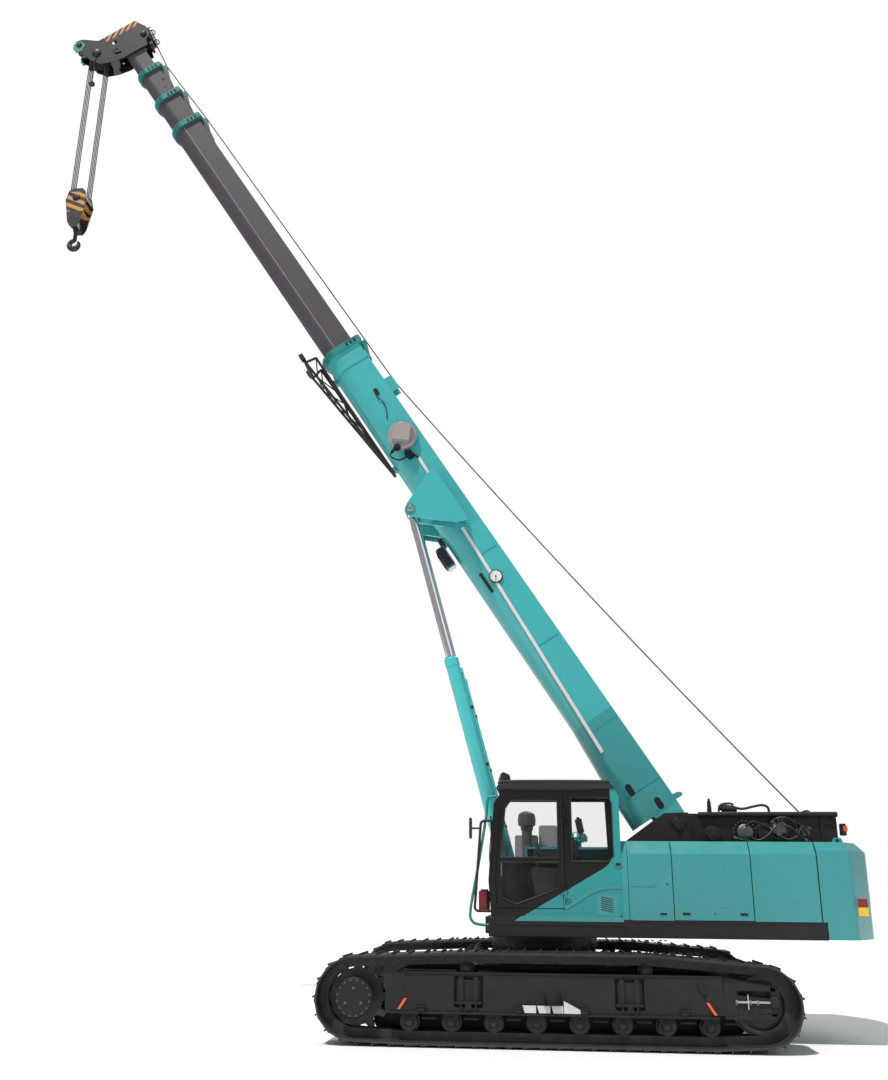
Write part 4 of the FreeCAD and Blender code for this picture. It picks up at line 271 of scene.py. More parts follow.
def worn(finish, colour, variety=0.1, dust=0.05):
    """A colour with slow cloudiness, fine specks and a little dust that gathers low down."""
    cloudy = finish.mix(finish.noise(1.7, 5.0), shade(colour, 1 - variety), shade(colour, 1 + variety))
    specks = finish.over(finish.noise(46.0, 3.0), 0.66, 0.05)
    speckled = finish.mix(finish.math("MULTIPLY", specks, variety * 1.2), cloudy, shade(colour, 1.6))
    low = finish.math("SUBTRACT", 1.0, finish.math("MULTIPLY", finish.reach((0, 0, 1)), 0.45, clamp=True))
    patchy = finish.math("MULTIPLY", low, finish.noise(5.5, 7.0))
    return finish.mix(finish.math("MULTIPLY", patchy, dust * 4, clamp=True), speckled, DUST)


def paint(name, colour, roughness=(0.28, 0.42), layers=(), variety=0.07, dust=0.04, coat=0.35, shine=0.5):
    """Machine paint: a clear sheen, faint orange peel, and layers of other colours by place."""
    finish = Finish(name)
    finish.shader.inputs["Coat Weight"].default_value = coat
    finish.shader.inputs["Coat Roughness"].default_value = 0.18
    finish.shader.inputs["Specular IOR Level"].default_value = shine
    made = worn(finish, colour, variety, dust)
    for where, other in layers:
        made = finish.mix(where(finish), made, worn(finish, other, variety, dust))
    finish.rough(*roughness)
    finish.bump(finish.noise(260.0, 2.0), 0.06, 0.0006)
    finish.bump(finish.noise(9.0, 3.0), 0.05, 0.003)
    return finish.colour(made)


def cast(name, colour, roughness=(0.45, 0.7), metallic=0.3, dust=0.22, grain=0.35):
    """Cast or forged steel: grainy, dusty in its hollows and rubbed brighter in streaks."""
    finish = Finish(name, metallic=metallic)
    made = worn(finish, colour, 0.22, dust)
    rubbed = finish.over(finish.noise(24.0, 8.0, (1.0, 0.25, 1.0)), 0.6, 0.1)
    made = finish.mix(finish.math("MULTIPLY", rubbed, 0.35), made, shade(colour, 2.4))
    finish.rough(*roughness, scale=12.0)
    finish.bump(finish.noise(120.0, 6.0), grain, 0.002)
    return finish.colour(made)


def metal(name, colour, roughness, metallic=1.0, brushed=None):
    """Bare metal with faint drawn lines."""
    finish = Finish(name, metallic=metallic)
    lines = finish.noise(60.0, 4.0, brushed or (1, 1, 1))
    finish.rough(roughness * 0.7, roughness * 1.3, 40.0)
    finish.bump(lines, 0.05, 0.0006)
    return finish.colour(finish.mix(lines, shade(colour, 0.85), shade(colour, 1.1)))


def plastic(name, colour, roughness=(0.45, 0.6), grain=700.0):
    finish = Finish(name)
    finish.rough(*roughness)
    finish.bump(finish.noise(grain, 2.0), 0.25, 0.0008)
    return finish.colour(finish.mix(finish.noise(3.0), shade(colour, 0.85), shade(colour, 1.15)))


def glass(name, colour, alpha):
    finish = Finish(name, roughness=0.03)
    finish.shader.inputs["Alpha"].default_value = alpha
    finish.shader.inputs["IOR"].default_value = 1.45
    finish.bump(finish.noise(3.0), 0.02, 0.002)
    return finish.colour(finish.mix(finish.noise(2.0), shade(colour, 0.9), shade(colour, 1.1)))


def cloth(name, colour):
    """Woven seat cloth."""
    finish = Finish(name)
    finish.shader.inputs["Sheen Weight"].default_value = 0.4
    finish.rough(0.8, 0.95)
    warp = finish.math("SINE", finish.math("MULTIPLY", finish.reach((1, 0, 0.4)), 2600.0))
    weft = finish.math("SINE", finish.math("MULTIPLY", finish.reach((0, 1, 0.2)), 2600.0))
    finish.bump(finish.math("MULTIPLY", warp, weft), 0.5, 0.001)
    return finish.colour(finish.mix(finish.noise(18.0), shade(colour, 0.7), shade(colour, 1.3)))


def below_line(start, slope):
    """The cab's lower panel: under a line that rises to the rear, and the rear pillar behind it."""

    def where(finish):
        rise = finish.reach((-slope, 0, 1.0), start)
        pillar = finish.math("SUBTRACT", finish.reach((1, 0, 0)), CAB_LOW[0] + 0.105)
        nearest = finish.math("SMOOTH_MIN", finish.math("MULTIPLY", rise, 0.86), pillar, 0.16)
        inside = finish.over(finish.math("MULTIPLY", nearest, -1.0), 0.0)
        outside = finish.over(finish.reach((0, 1, 0)), CAB_HIGH[1] - 0.075)
        return finish.math("MULTIPLY", inside, outside)

    return where


def past(start_along):
    """Everything beyond a place along the boom."""

    def where(finish):
        return finish.over(finish.reach(ALONG, FOOT), start_along)

    return where


def stripes(direction, pitch, share, *limits):
    """Slanted stripes inside limits, each a direction, a start, and low and high ends counted from it."""

    def where(finish):
        run = finish.math("FRACT", finish.math("MULTIPLY", finish.reach(direction), 1 / pitch))
        made = finish.over(finish.math("MULTIPLY", run, -1.0), -share, 0.01)
        for way, start, low, high in limits:
            made = finish.math("MULTIPLY", made, finish.within(finish.reach(way, start), low, high))
        return made

    return where


# One teal paint is split into lit and shaded copies. The panels and the small teal parts take a darker copy
# that holds painted shade. The barrels take a much brighter copy that holds a painted highlight.
PANEL_PAINT_WITH_PAINTED_SHADE = paint("teal_panels_painted_shade", shade(TEAL, 0.8), dust=0.02)
BARREL_PAINT_WITH_PAINTED_HIGHLIGHT = paint("teal_barrels_painted_highlight", shade(TEAL, 1.45), dust=0.02)
TEAL_DARK = paint("teal_collars", TEAL_DEEP, (0.35, 0.5))
DARK_PAINT = paint("dark_frame", shade(DARK, 0.8), (0.45, 0.62), dust=0.015, coat=0.04, shine=0.28)
TRACK_FRAME_PAINT = paint(
    "track_frame_paint", shade(DARK, 0.7), (0.48, 0.66), dust=0.02, variety=0.12, coat=0.02, shine=0.25
)
BLACK_PAINT = paint("black_trim", BLACK, (0.45, 0.6), coat=0.05, shine=0.3)
GREY_PAINT = paint("grey_boom", GREY, (0.4, 0.55), coat=0.08, shine=0.3)
WHITE_PAINT = paint("white_marks", (0.62, 0.61, 0.63, 1), (0.4, 0.55), dust=0.06)
REEL_PAINT = paint("reel_paint", (0.3, 0.265, 0.275, 1), (0.4, 0.5))
SHOE_STEEL = cast("shoe_steel", (0.016, 0.0145, 0.0175, 1), (0.45, 0.7), dust=0.07, grain=0.3)
CAST_STEEL = cast("cast_steel", (0.024, 0.021, 0.025, 1), dust=0.07)
BOLT_STEEL = metal("bolt_steel", (0.14, 0.13, 0.14, 1), 0.45)
BRIGHT_STEEL = metal("bright_steel", (0.55, 0.54, 0.55, 1), 0.3)
CHROME = metal("chrome_rod", (0.84, 0.84, 0.87, 1), 0.12)
ROPE_STEEL = metal("rope_steel", (0.1, 0.097, 0.105, 1), 0.45, 0.7)
HOSE_RUBBER = plastic("hose_rubber", (0.016, 0.015, 0.017, 1))
CAB_TRIM = plastic("cab_trim", (0.011, 0.01, 0.0125, 1), (0.5, 0.65))
CONSOLE = plastic("console_plastic", (0.011, 0.01, 0.012, 1), (0.6, 0.75))
SEAT_CLOTH = cloth("seat_cloth", (0.03, 0.029, 0.032, 1))
PANE = glass("cab_glass", (0.1, 0.12, 0.12, 1), 0.05)
REFLECTOR = plastic("orange_reflector", ORANGE, (0.25, 0.35))
RED_LENS = plastic("red_lens", (0.22, 0.018, 0.018, 1), (0.15, 0.25))
YELLOW_LENS = plastic("yellow_lens", (0.78, 0.5, 0.035, 1), (0.2, 0.3))
CLEAR_LENS = plastic("clear_lens", (0.62, 0.62, 0.62, 1), (0.1, 0.2))
DIAL_FACE = plastic("dial_face", (0.68, 0.68, 0.64, 1), (0.3, 0.4))
# The boom base takes a brighter copy of the teal, which holds a painted highlight.
BOOM_BASE_PAINT_WITH_PAINTED_HIGHLIGHT = paint("boom_base_paint_painted_highlight", shade(TEAL, 1.12), layers=[(past(BASE_END - COLLAR), TEAL_DEEP)])
# The cab's lower teal is the darker copy of the teal, with painted shade in it.
CAB_PAINT = paint(
    "cab_paint",
    shade(DARK, 0.45),
    (0.42, 0.56),
    layers=[(below_line((0.3, 0, CAB_LOW[2]), -0.565), shade(TEAL, 0.8))],
    coat=0.03,
    shine=0.2,
)
SECTION_PAINT = {
    name: paint(
        name + "_paint", GREY, (0.4, 0.55),
        layers=[(past(part["end"] - COLLAR), TEAL_DEEP)], coat=0.08, shine=0.3,
    )
    for name, part in SECTIONS.items()
}
HEAD_BAND = 0.115
HEAD_PAINT = paint(
    "head_paint",
    BLACK,
    (0.4, 0.55),
    layers=[
        (
            stripes(
                tuple((ALONG - UP * 0.75).normalized()),
                0.085,
                0.5,
                (tuple(UP), tuple(HEAD_PIN), 0.26, 0.99),
                (tuple(ALONG), tuple(HEAD_PIN), 0.23 - HEAD_BAND, 0.232),
            ),
            STRIPE,
        )
    ],
    coat=0.04,
    shine=0.28,
)
BLOCK_MIDDLE = middle("hook_block")
BLOCK_PAINT = paint(
    "block_paint",
    DARK,
    (0.4, 0.5),
    layers=[
        (
            stripes(
                (-0.42, 0, 0.91),
                0.135,
                0.5,
                ((0, 0, 1), tuple(BLOCK_MIDDLE), -0.09, 0.31),
                ((1, 0, 0), tuple(BLOCK_MIDDLE), -0.165, 0.165),
            ),
            STRIPE,
        )
    ],
)

CARRIED_OVER = {
    DARK_PAINT: ["carbody", "turntable_frame", "winch_reducers", "stowed_jib"],
    TRACK_FRAME_PAINT: ["left_track_frame", "right_track_frame"], SHOE_STEEL: ["left_track", "right_track"],
    CAST_STEEL: [
        "left_sprocket", "right_sprocket", "left_idler", "right_idler", "left_rollers", "right_rollers",
        "slewing_ring", "engine_block", "head_sheaves", "crane_hook", "over_hoist_weight"
    ],
    CAB_PAINT: ["cab_shell", "cab_door"], PANE: ["cab_glazing", "door_glass"], CONSOLE: ["control_consoles"],
    CAB_TRIM: ["cab_rails", "angle_dial"], BOOM_BASE_PAINT_WITH_PAINTED_HIGHLIGHT: ["boom_base"], REEL_PAINT: ["cable_reel"],
    GREY_PAINT: ["boom_section_5"], HEAD_PAINT: ["boom_head"], BLOCK_PAINT: ["hook_block"],
    PANEL_PAINT_WITH_PAINTED_SHADE: [
        "left_housing", "left_bay_door", "right_housing", "right_bay_door", "tool_locker", "counterweight"
    ],
    BARREL_PAINT_WITH_PAINTED_HIGHLIGHT: ["luffing_barrels"], CHROME: ["luffing_rods"],
    ROPE_STEEL: ["main_winch", "aux_winch", "hoist_falls"], SEAT_CLOTH: ["operator_seat"]
}
for material, names in CARRIED_OVER.items():
    for name in names:
        NODES[name].data.materials.clear()
        NODES[name].data.materials.append(material)
for name, part in SECTIONS.items():
    NODES[part["node"]].data.materials.clear()
    NODES[part["node"]].data.materials.append(SECTION_PAINT[name])


# ---------------- shapes
class Pieces:
    """Closed shapes gathered into one mesh. place turns their own frame into the row frame."""

    def __init__(self, place=None):
        self.place = place or Matrix.Identity(4)
        self.mesh = bmesh.new()

    def solid(self, points, faces):
        spots = [self.mesh.verts.new(self.place @ Vector(point)) for point in points]
        for face in faces:
            try:
                self.mesh.faces.new([spots[i] for i in face])
            except ValueError:
                continue

    def take(self, other, bevel=0.0, segments=2, sharp=30):
        """Adds another mesh in this frame, with its sharp edges rounded."""
        if bevel:
            edges = [e for e in other.edges if e.is_manifold and e.calc_face_angle(0) > math.radians(sharp)]
            bmesh.ops.bevel(
                other, geom=edges, offset=bevel, segments=segments, affect="EDGES", clamp_overlap=True
            )
        spots = {v: self.mesh.verts.new(self.place @ v.co) for v in other.verts}
        for face in other.faces:
            self.mesh.faces.new([spots[v] for v in face.verts])
        other.free()

    def box(self, x, y, z, bevel=0.004, turn=None):
        """A block between two places on each axis, turned about its middle if asked."""
        made = bmesh.new()
        bmesh.ops.create_cube(made, size=1)
        size = Vector((x[1] - x[0], y[1] - y[0], z[1] - z[0]))
        centre = Vector(((x[0] + x[1]) / 2, (y[0] + y[1]) / 2, (z[0] + z[1]) / 2))
        for v in made.verts:
            v.co = Vector(a * b for a, b in zip(v.co, size))
            if turn:
                v.co.rotate(turn)
            v.co += centre
        self.take(made, bevel=min(bevel, 0.3 * min(size)))

    def plate(self, outline, ends, bevel=0.003, axis="y"):
        """A flat outline given thickness between two ends on an axis. Its corners lie on the other two."""
        made = bmesh.new()
        spread = {
            "x": lambda a, b, c: (c, a, b), "y": lambda a, b, c: (a, c, b), "z": lambda a, b, c: (a, b, c)
        }[axis]
        rings = [[made.verts.new(spread(a, b, place)) for a, b in outline] for place in ends]
        made.faces.new(rings[0][::-1])
        made.faces.new(rings[1])
        for i in range(len(outline)):
            j = (i + 1) % len(outline)
            made.faces.new([rings[0][i], rings[0][j], rings[1][j], rings[1][i]])
        bmesh.ops.recalc_face_normals(made, faces=made.faces)
        self.take(made, bevel=bevel)

    def turned(self, centre, way, outline, sides=32):
        """A round shape about a line. Each corner of its outline is (radius, place along the line)."""
        way = Vector(way).normalized()
        across = way.orthogonal().normalized()
        beside = way.cross(across)
        made = bmesh.new()
        rings = []
        for radius, place in outline:
            point = Vector(centre) + way * place
            if radius <= 1e-6:
                rings.append([made.verts.new(point)])
                continue
            ring = []
            for k in range(sides):
                angle = 2 * math.pi * k / sides
                ring.append(
                    made.verts.new(point + radius * (across * math.cos(angle) + beside * math.sin(angle)))
                )
            rings.append(ring)
        for lower, upper in zip(rings, rings[1:]):
            for k in range(sides):
                n = (k + 1) % sides
                if len(lower) == 1 and len(upper) == 1:
                    break
                if len(lower) == 1:
                    made.faces.new([lower[0], upper[n], upper[k]])
                elif len(upper) == 1:
                    made.faces.new([lower[k], lower[n], upper[0]])
                else:
                    made.faces.new([lower[k], lower[n], upper[n], upper[k]])
        bmesh.ops.recalc_face_normals(made, faces=made.faces)
        self.take(made)

    def rod(self, start, stop, radius, sides=24, edge=0.002):
        """A round bar with softened ends."""
        start, stop = Vector(start), Vector(stop)
        long = (stop - start).length
        edge = min(edge, radius * 0.4, long * 0.4)
        profile = disc((radius - edge, 0), (radius, edge), (radius, long - edge), (radius - edge, long))
        self.turned(start, stop - start, profile, sides)

    def bolt(self, spot, way, radius=0.014, tall=0.01):
        """A hexagon head on a washer."""
        spot, way = Vector(spot), Vector(way).normalized()
        self.turned(spot, way, disc((radius * 1.35, 0), (radius * 1.35, tall * 0.2)), 14)
        head = disc((radius, 0), (radius, tall * 0.85), (radius * 0.85, tall))
        self.turned(spot + way * tall * 0.2, way, head, 6)

    def pipe(self, points, radius, sides=10, smooth=True):
        """A hose or pipe along a smooth path through points."""
        path = smooth_path(points) if smooth and len(points) > 2 else [Vector(p) for p in points]
        made = bmesh.new()
        rings = []
        normal = None
        for i, point in enumerate(path):
            before, after = path[max(i - 1, 0)], path[min(i + 1, len(path) - 1)]
            way = (after - before).normalized()
            normal = way.orthogonal() if normal is None else normal - way * normal.dot(way)
            normal.normalize()
            beside = way.cross(normal)
            rings.append([
                made.verts.new(point + radius * (normal * math.cos(a) + beside * math.sin(a)))
                for a in (2 * math.pi * k / sides for k in range(sides))
            ])
        wall(made, rings)
        self.take(made)

    def done(self, name, material, body, slot, smooth=35):
        """Makes the object and gives it its material; it rides on its body when the body is a name, and
        otherwise stays fixed where it was built.
        """
        bmesh.ops.recalc_face_normals(self.mesh, faces=self.mesh.faces)
        data = bpy.data.meshes.new(name)
        self.mesh.to_mesh(data)
        self.mesh.free()
        data.shade_smooth()
        data.set_sharp_from_angle(angle=math.radians(smooth))
        piece = bpy.data.objects.new(name, data)
        bpy.context.scene.collection.objects.link(piece)
        data.materials.append(material)
        if isinstance(body, str):
            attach(piece, body)
        else:
            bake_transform(piece)
        return piece


def wall(mesh, rings):
    """Faces between rings of corners, and one over each end."""
    sides = len(rings[0])
    for lower, upper in zip(rings, rings[1:]):
        for k in range(sides):
            n = (k + 1) % sides
            mesh.faces.new([lower[k], lower[n], upper[n], upper[k]])
    mesh.faces.new(rings[0][::-1])
    mesh.faces.new(rings[-1])


def smooth_path(points, steps=6):
    """Points along a smooth line through the given ones."""
    spots = [Vector(p) for p in points]
    spots = [spots[0] * 2 - spots[1]] + spots + [spots[-1] * 2 - spots[-2]]
    made = []
    for a, b, c, d in zip(spots, spots[1:], spots[2:], spots[3:]):
        for k in range(steps):
            t = k / steps
            made.append(
                0.5 * (
                    2 * b + (c - a) * t + (
                        2 * a - 5 * b + 4 * c - d
                    ) * t * t + (3 * b - a - 3 * c + d) * t * t * t
                )
            )
    made.append(spots[-2])
    return made


def rounded(low, high, radius, steps=5):
    """The outline of a rectangle with round corners."""
    made = []
    corners = [
        (high[0] - radius, high[1] - radius, 0), (low[0] + radius, high[1] - radius, 90),
        (low[0] + radius, low[1] + radius, 180), (high[0] - radius, low[1] + radius, 270)
    ]
    for a, b, start in corners:
        for k in range(steps + 1):
            angle = math.radians(start + 90 * k / steps)
            made.append((a + radius * math.cos(angle), b + radius * math.sin(angle)))
    return made


# ---------------- tracks
TRACK_MIDDLE = 1.675
FRAME_FACE = 1.895
FLANGE_LOW = 0.345
TENSION_ROD_HEIGHT = 0.528
MARK_LOW = 0.376


def dress_track(side, body):
    """What one track frame carries: flanges, brackets, step, a dark sheet inside the track loop, tensioner,
    drive cover and marks. The sheet is partly painted shade: it stands for the shaded chain links and inner
    side and hides the floor between the rollers.
    """
    name = "left" if side > 0 else "right"
    outward = (0, side, 0)

    def out(near, far):
        """Two places across, counted from the frame's outer face."""
        return span(side, FRAME_FACE + near, FRAME_FACE + far)

    def at(x, near, z):
        """A place counted from the frame's outer face."""
        return x, side * (FRAME_FACE + near), z

    steel = Pieces()
    steel.box((-1.93, 1.76), out(-0.004, 0.03), (FLANGE_LOW, 0.372))
    steel.box((-1.9, 1.6), out(-0.004, 0.012), (0.772, 0.79), 0.002)
    for x in (1.41, 0.3, -0.44, -1.55):
        steel.box(about(x, 0.055), out(0, 0.055), (0.418, 0.432), 0.002)
        steel.box(about(x, 0.045), out(0, 0.045), (0.372, 0.42), 0.006)
    steel.box((-0.165, 0.015), out(0, 0.075), (0.455, 0.47), 0.003)
    steel.plate([(-0.15, 0.472), (0.0, 0.472), (0.012, 0.56), (-0.162, 0.56)], out(0, 0.012))
    for x in (-0.168, 0.008):
        steel.plate(oblong(x, 0.455, x + 0.01, 0.59), out(0, 0.07))
    for x in (0.87, -0.95):
        for leg in (-0.115, 0.055):
            steel.box((x + leg, x + leg + 0.062), out(-0.045, 0.006), (0.47, 0.745), 0.008)
        steel.box((x - 0.15, x + 0.155), out(-0.03, 0.022), (0.452, 0.486), 0.006)
        steel.rod(at(x, -0.03, 0.425), at(x, 0.028, 0.425), 0.036)
        for pin in (-0.085, 0.085):
            steel.rod(at(x + pin, 0.015, 0.4), at(x + pin, 0.015, 0.456), 0.012)
            steel.bolt(at(x + pin, 0.022, 0.469), outward, 0.013)
    steel.plate(
        [(-1.8, 0.6), (-1.74, 0.6), (-1.7, 0.7), (-1.74, 0.71), (-1.78, 0.64), (-1.8, 0.64)], out(0, 0.03)
    )
    steel.plate([(-1.86, 0.4), (-1.83, 0.4), (-1.78, 0.6), (-1.81, 0.6)], out(0, 0.02))
    steel.rod(at(-2.54, -0.02, TENSION_ROD_HEIGHT), at(-2.54, 0.034, TENSION_ROD_HEIGHT), 0.062, 32, 0.012)
    for k in range(8):
        x = 1.56 - 3.4 * k / 7
        steel.plate(
            [(x - 0.1, 0.344), (x + 0.1, 0.344), (x + 0.055, 0.262), (x - 0.055, 0.262)],
            out(-0.062, -0.034), 0.006
        )
        steel.bolt(at(x, -0.034, 0.298), outward, 0.02, 0.016)
        steel.box((x - 0.32, x - 0.15), out(-0.045, -0.036), (0.285, 0.304), 0.003)
    # A dark sheet inside the track loop, partly painted shade: it stands for the shaded chain links and inner
    # side, and hides the floor between the rollers.
    inner_shade_sheet = span(side, 1.437, 1.449)
    steel.plate(
        [
            (-2.28, 0.2), (-2.18, 0.1), (1.96, 0.1), (2.02, 0.2), (2.02, 0.62), (1.6, 0.845), (-1.75, 0.845),
            (-2.28, 0.6)
        ],
        inner_shade_sheet, 0.004
    )
    steel.plate(
        [(1.6, 0.6), (1.852, 0.6), (1.852, 0.77), (1.825, 0.789), (1.6, 0.789)], out(-0.006, 0.004), 0.002
    )
    steel.plate(oblong(-1.985, 0.38, -1.6, 0.789), out(-0.006, 0.003), 0.002)
    window_frame = [
        [(-2.14, FLANGE_LOW), (-1.99, FLANGE_LOW), (-1.99, 0.78), (-2.14, 0.76)],
        [(-2.56, FLANGE_LOW), (-2.13, FLANGE_LOW), (-2.13, 0.405), (-2.56, 0.415)],
        [(-2.56, 0.635), (-2.13, 0.64), (-2.13, 0.758), (-2.56, 0.69)],
        [(-2.6, 0.38), (-2.5, 0.38), (-2.5, 0.69), (-2.6, 0.66)]
    ]
    for outline in window_frame:
        steel.plate(outline, out(-0.035, -0.005), 0.004)
    steel.plate(oblong(-2.5, 0.4, -2.14, 0.64), out(-0.15, -0.142), 0.002)
    steel.done(name + "_frame_fittings", TRACK_FRAME_PAINT, body, "dark_paint")

    bright = Pieces()
    bright.rod(at(-2.49, 0.016, TENSION_ROD_HEIGHT), at(-2.11, 0.016, TENSION_ROD_HEIGHT), 0.015)
    for x in (-2.36, -2.28, -2.13):
        bright.turned(
            at(x, 0.016, TENSION_ROD_HEIGHT), X, [(0.014, 0), (0.032, 0.0), (0.032, 0.022), (0.014, 0.022)], 6
        )
    bright.box((-2.252, -2.24), out(-0.01, 0.036), (0.45, 0.606), 0.002)
    bright.done(name + "_tension_rods", BRIGHT_STEEL, body, "wire_rope")

    drive = Pieces()
    hub = middle(name + "_sprocket")
    outer = side * (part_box("left_sprocket")[1][1] + 0.001)
    cover = [(0, 0), (0.222, 0), (0.222, 0.012), (0.205, 0.03), (0.15, 0.038), (0.0, 0.04)]
    drive.turned((hub.x, outer, hub.z), outward, cover, 64)
    drive.done(name + "_drive_cover", TRACK_FRAME_PAINT, body, "dark_paint", 20)
    bolts = Pieces()
    for a, b in circle(0.188, 16, 11.25):
        bolts.bolt((hub.x + a, outer + side * 0.031, hub.z + b), outward, 0.011, 0.01)
    for a, b in circle(0.105, 3, 90):
        bolts.bolt((hub.x + a, outer + side * 0.038, hub.z + b), outward, 0.014, 0.012)
    bolts.done(name + "_drive_bolts", BOLT_STEEL, body, "track_steel")

    arrow = Pieces()
    slant, mark_top = 0.022, MARK_LOW + 0.078
    for start, stop in ((0.258, 0.105), (0.092, -0.055), (-0.068, -0.2)):
        arrow.plate(
            [(start - slant, MARK_LOW), (stop, MARK_LOW), (stop, mark_top), (start, mark_top)],
            out(0.0305, 0.0325), 0
        )
    arrow.plate([(-0.208, MARK_LOW), (-0.47, MARK_LOW), (-0.208, 0.508)], out(0.0305, 0.0325), 0)
    arrow.done(name + "_direction_mark", WHITE_PAINT, body, "dark_paint")
    glow = Pieces()
    glow.plate([(1.655, 0.386), (1.69, 0.386), (1.61, 0.505), (1.575, 0.505)], out(0.001, 0.01), 0.002)
    glow.plate([(-1.905, 0.386), (-1.87, 0.386), (-1.785, 0.515), (-1.82, 0.515)], out(0.021, 0.03), 0.002)
    glow.done(name + "_reflectors", REFLECTOR, body, "dark_paint")


def dress_shoes(side, body):
    """Bolt heads on each shoe of the upper run, four to a shoe."""
    name = "left" if side > 0 else "right"
    made = Pieces()
    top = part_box(name + "_track")[1].z
    for k in range(17):
        for across in (-0.085, 0.085):
            for step in (-0.035, 0.035):
                spot = (-1.72 + 0.19 * k + step, side * (TRACK_MIDDLE + across), top - 0.027)
                made.bolt(spot, Z, 0.016, 0.012)
    made.done(name + "_shoe_bolts", SHOE_STEEL, body, "track_steel")


def dress_carbody():
    """Ring bolts, the spreading cylinders between the frames, travel hoses and tie-down lugs."""
    bolts = Pieces()
    for a, b in circle(0.655, 36):
        bolts.bolt((a, b, 1.001), Z, 0.016, 0.018)
    bolts.done("ring_bolts", BOLT_STEEL, "undercarriage", "track_steel")
    cylinders = Pieces()
    for side in (1, -1):
        cylinders.rod((0.1 * side, -0.55 * side, 0.36), (0.1 * side, 0.52 * side, 0.36), 0.065)
        cylinders.box((0.1 * side, 0.1 * side + 0.12), span(side, 0.5, 0.56), (0.29, 0.43))
    cylinders.done("spread_cylinders", DARK_PAINT, "undercarriage", "dark_paint")
    hoses = Pieces()
    for k in range(4):
        lift = 0.93 + 0.03 * k
        for front in (1, -1):
            hoses.pipe(
                [(0.72 * front, 0.08 * k - 0.12, 0.885), (0.8 * front, 0.1 * k - 0.1, lift),
                 (0.88 * front, 0.25 + 0.05 * k, lift - 0.02), (0.86 * front, 0.48 + 0.03 * k, 0.9)],
                0.014,
            )
    hoses.done("travel_hoses", HOSE_RUBBER, "undercarriage", "track_steel")
    plates = Pieces()
    for x in (0.98, -1.06):
        for y in (0.36, -0.36):
            plates.plate(
                [(x - 0.09, 0.88), (x + 0.09, 0.88), (x + 0.04, 0.98), (x - 0.04, 0.98)], about(y, 0.02)
            )
    plates.done("tie_down_lugs", DARK_PAINT, "undercarriage", "dark_paint")


# ---------------- upper deck
def latch(made, x, half, low, high, face, ends, corner, bevel):
    """A flush latch on a side face. low and high count from the deck, and ends outward from the face."""
    outline = rounded((x - half, DECK_HIGH + low), (x + half, DECK_HIGH + high), corner)
    side = math.copysign(1, face)
    made.plate(outline, sorted(face + side * end for end in ends), bevel)


def lock(made, x, z, face, radius):
    """A round lock on a side face."""
    side = math.copysign(1, face)
    made.rod((x, face - side * 0.002, z), (x, face + side * 0.004, z), radius)


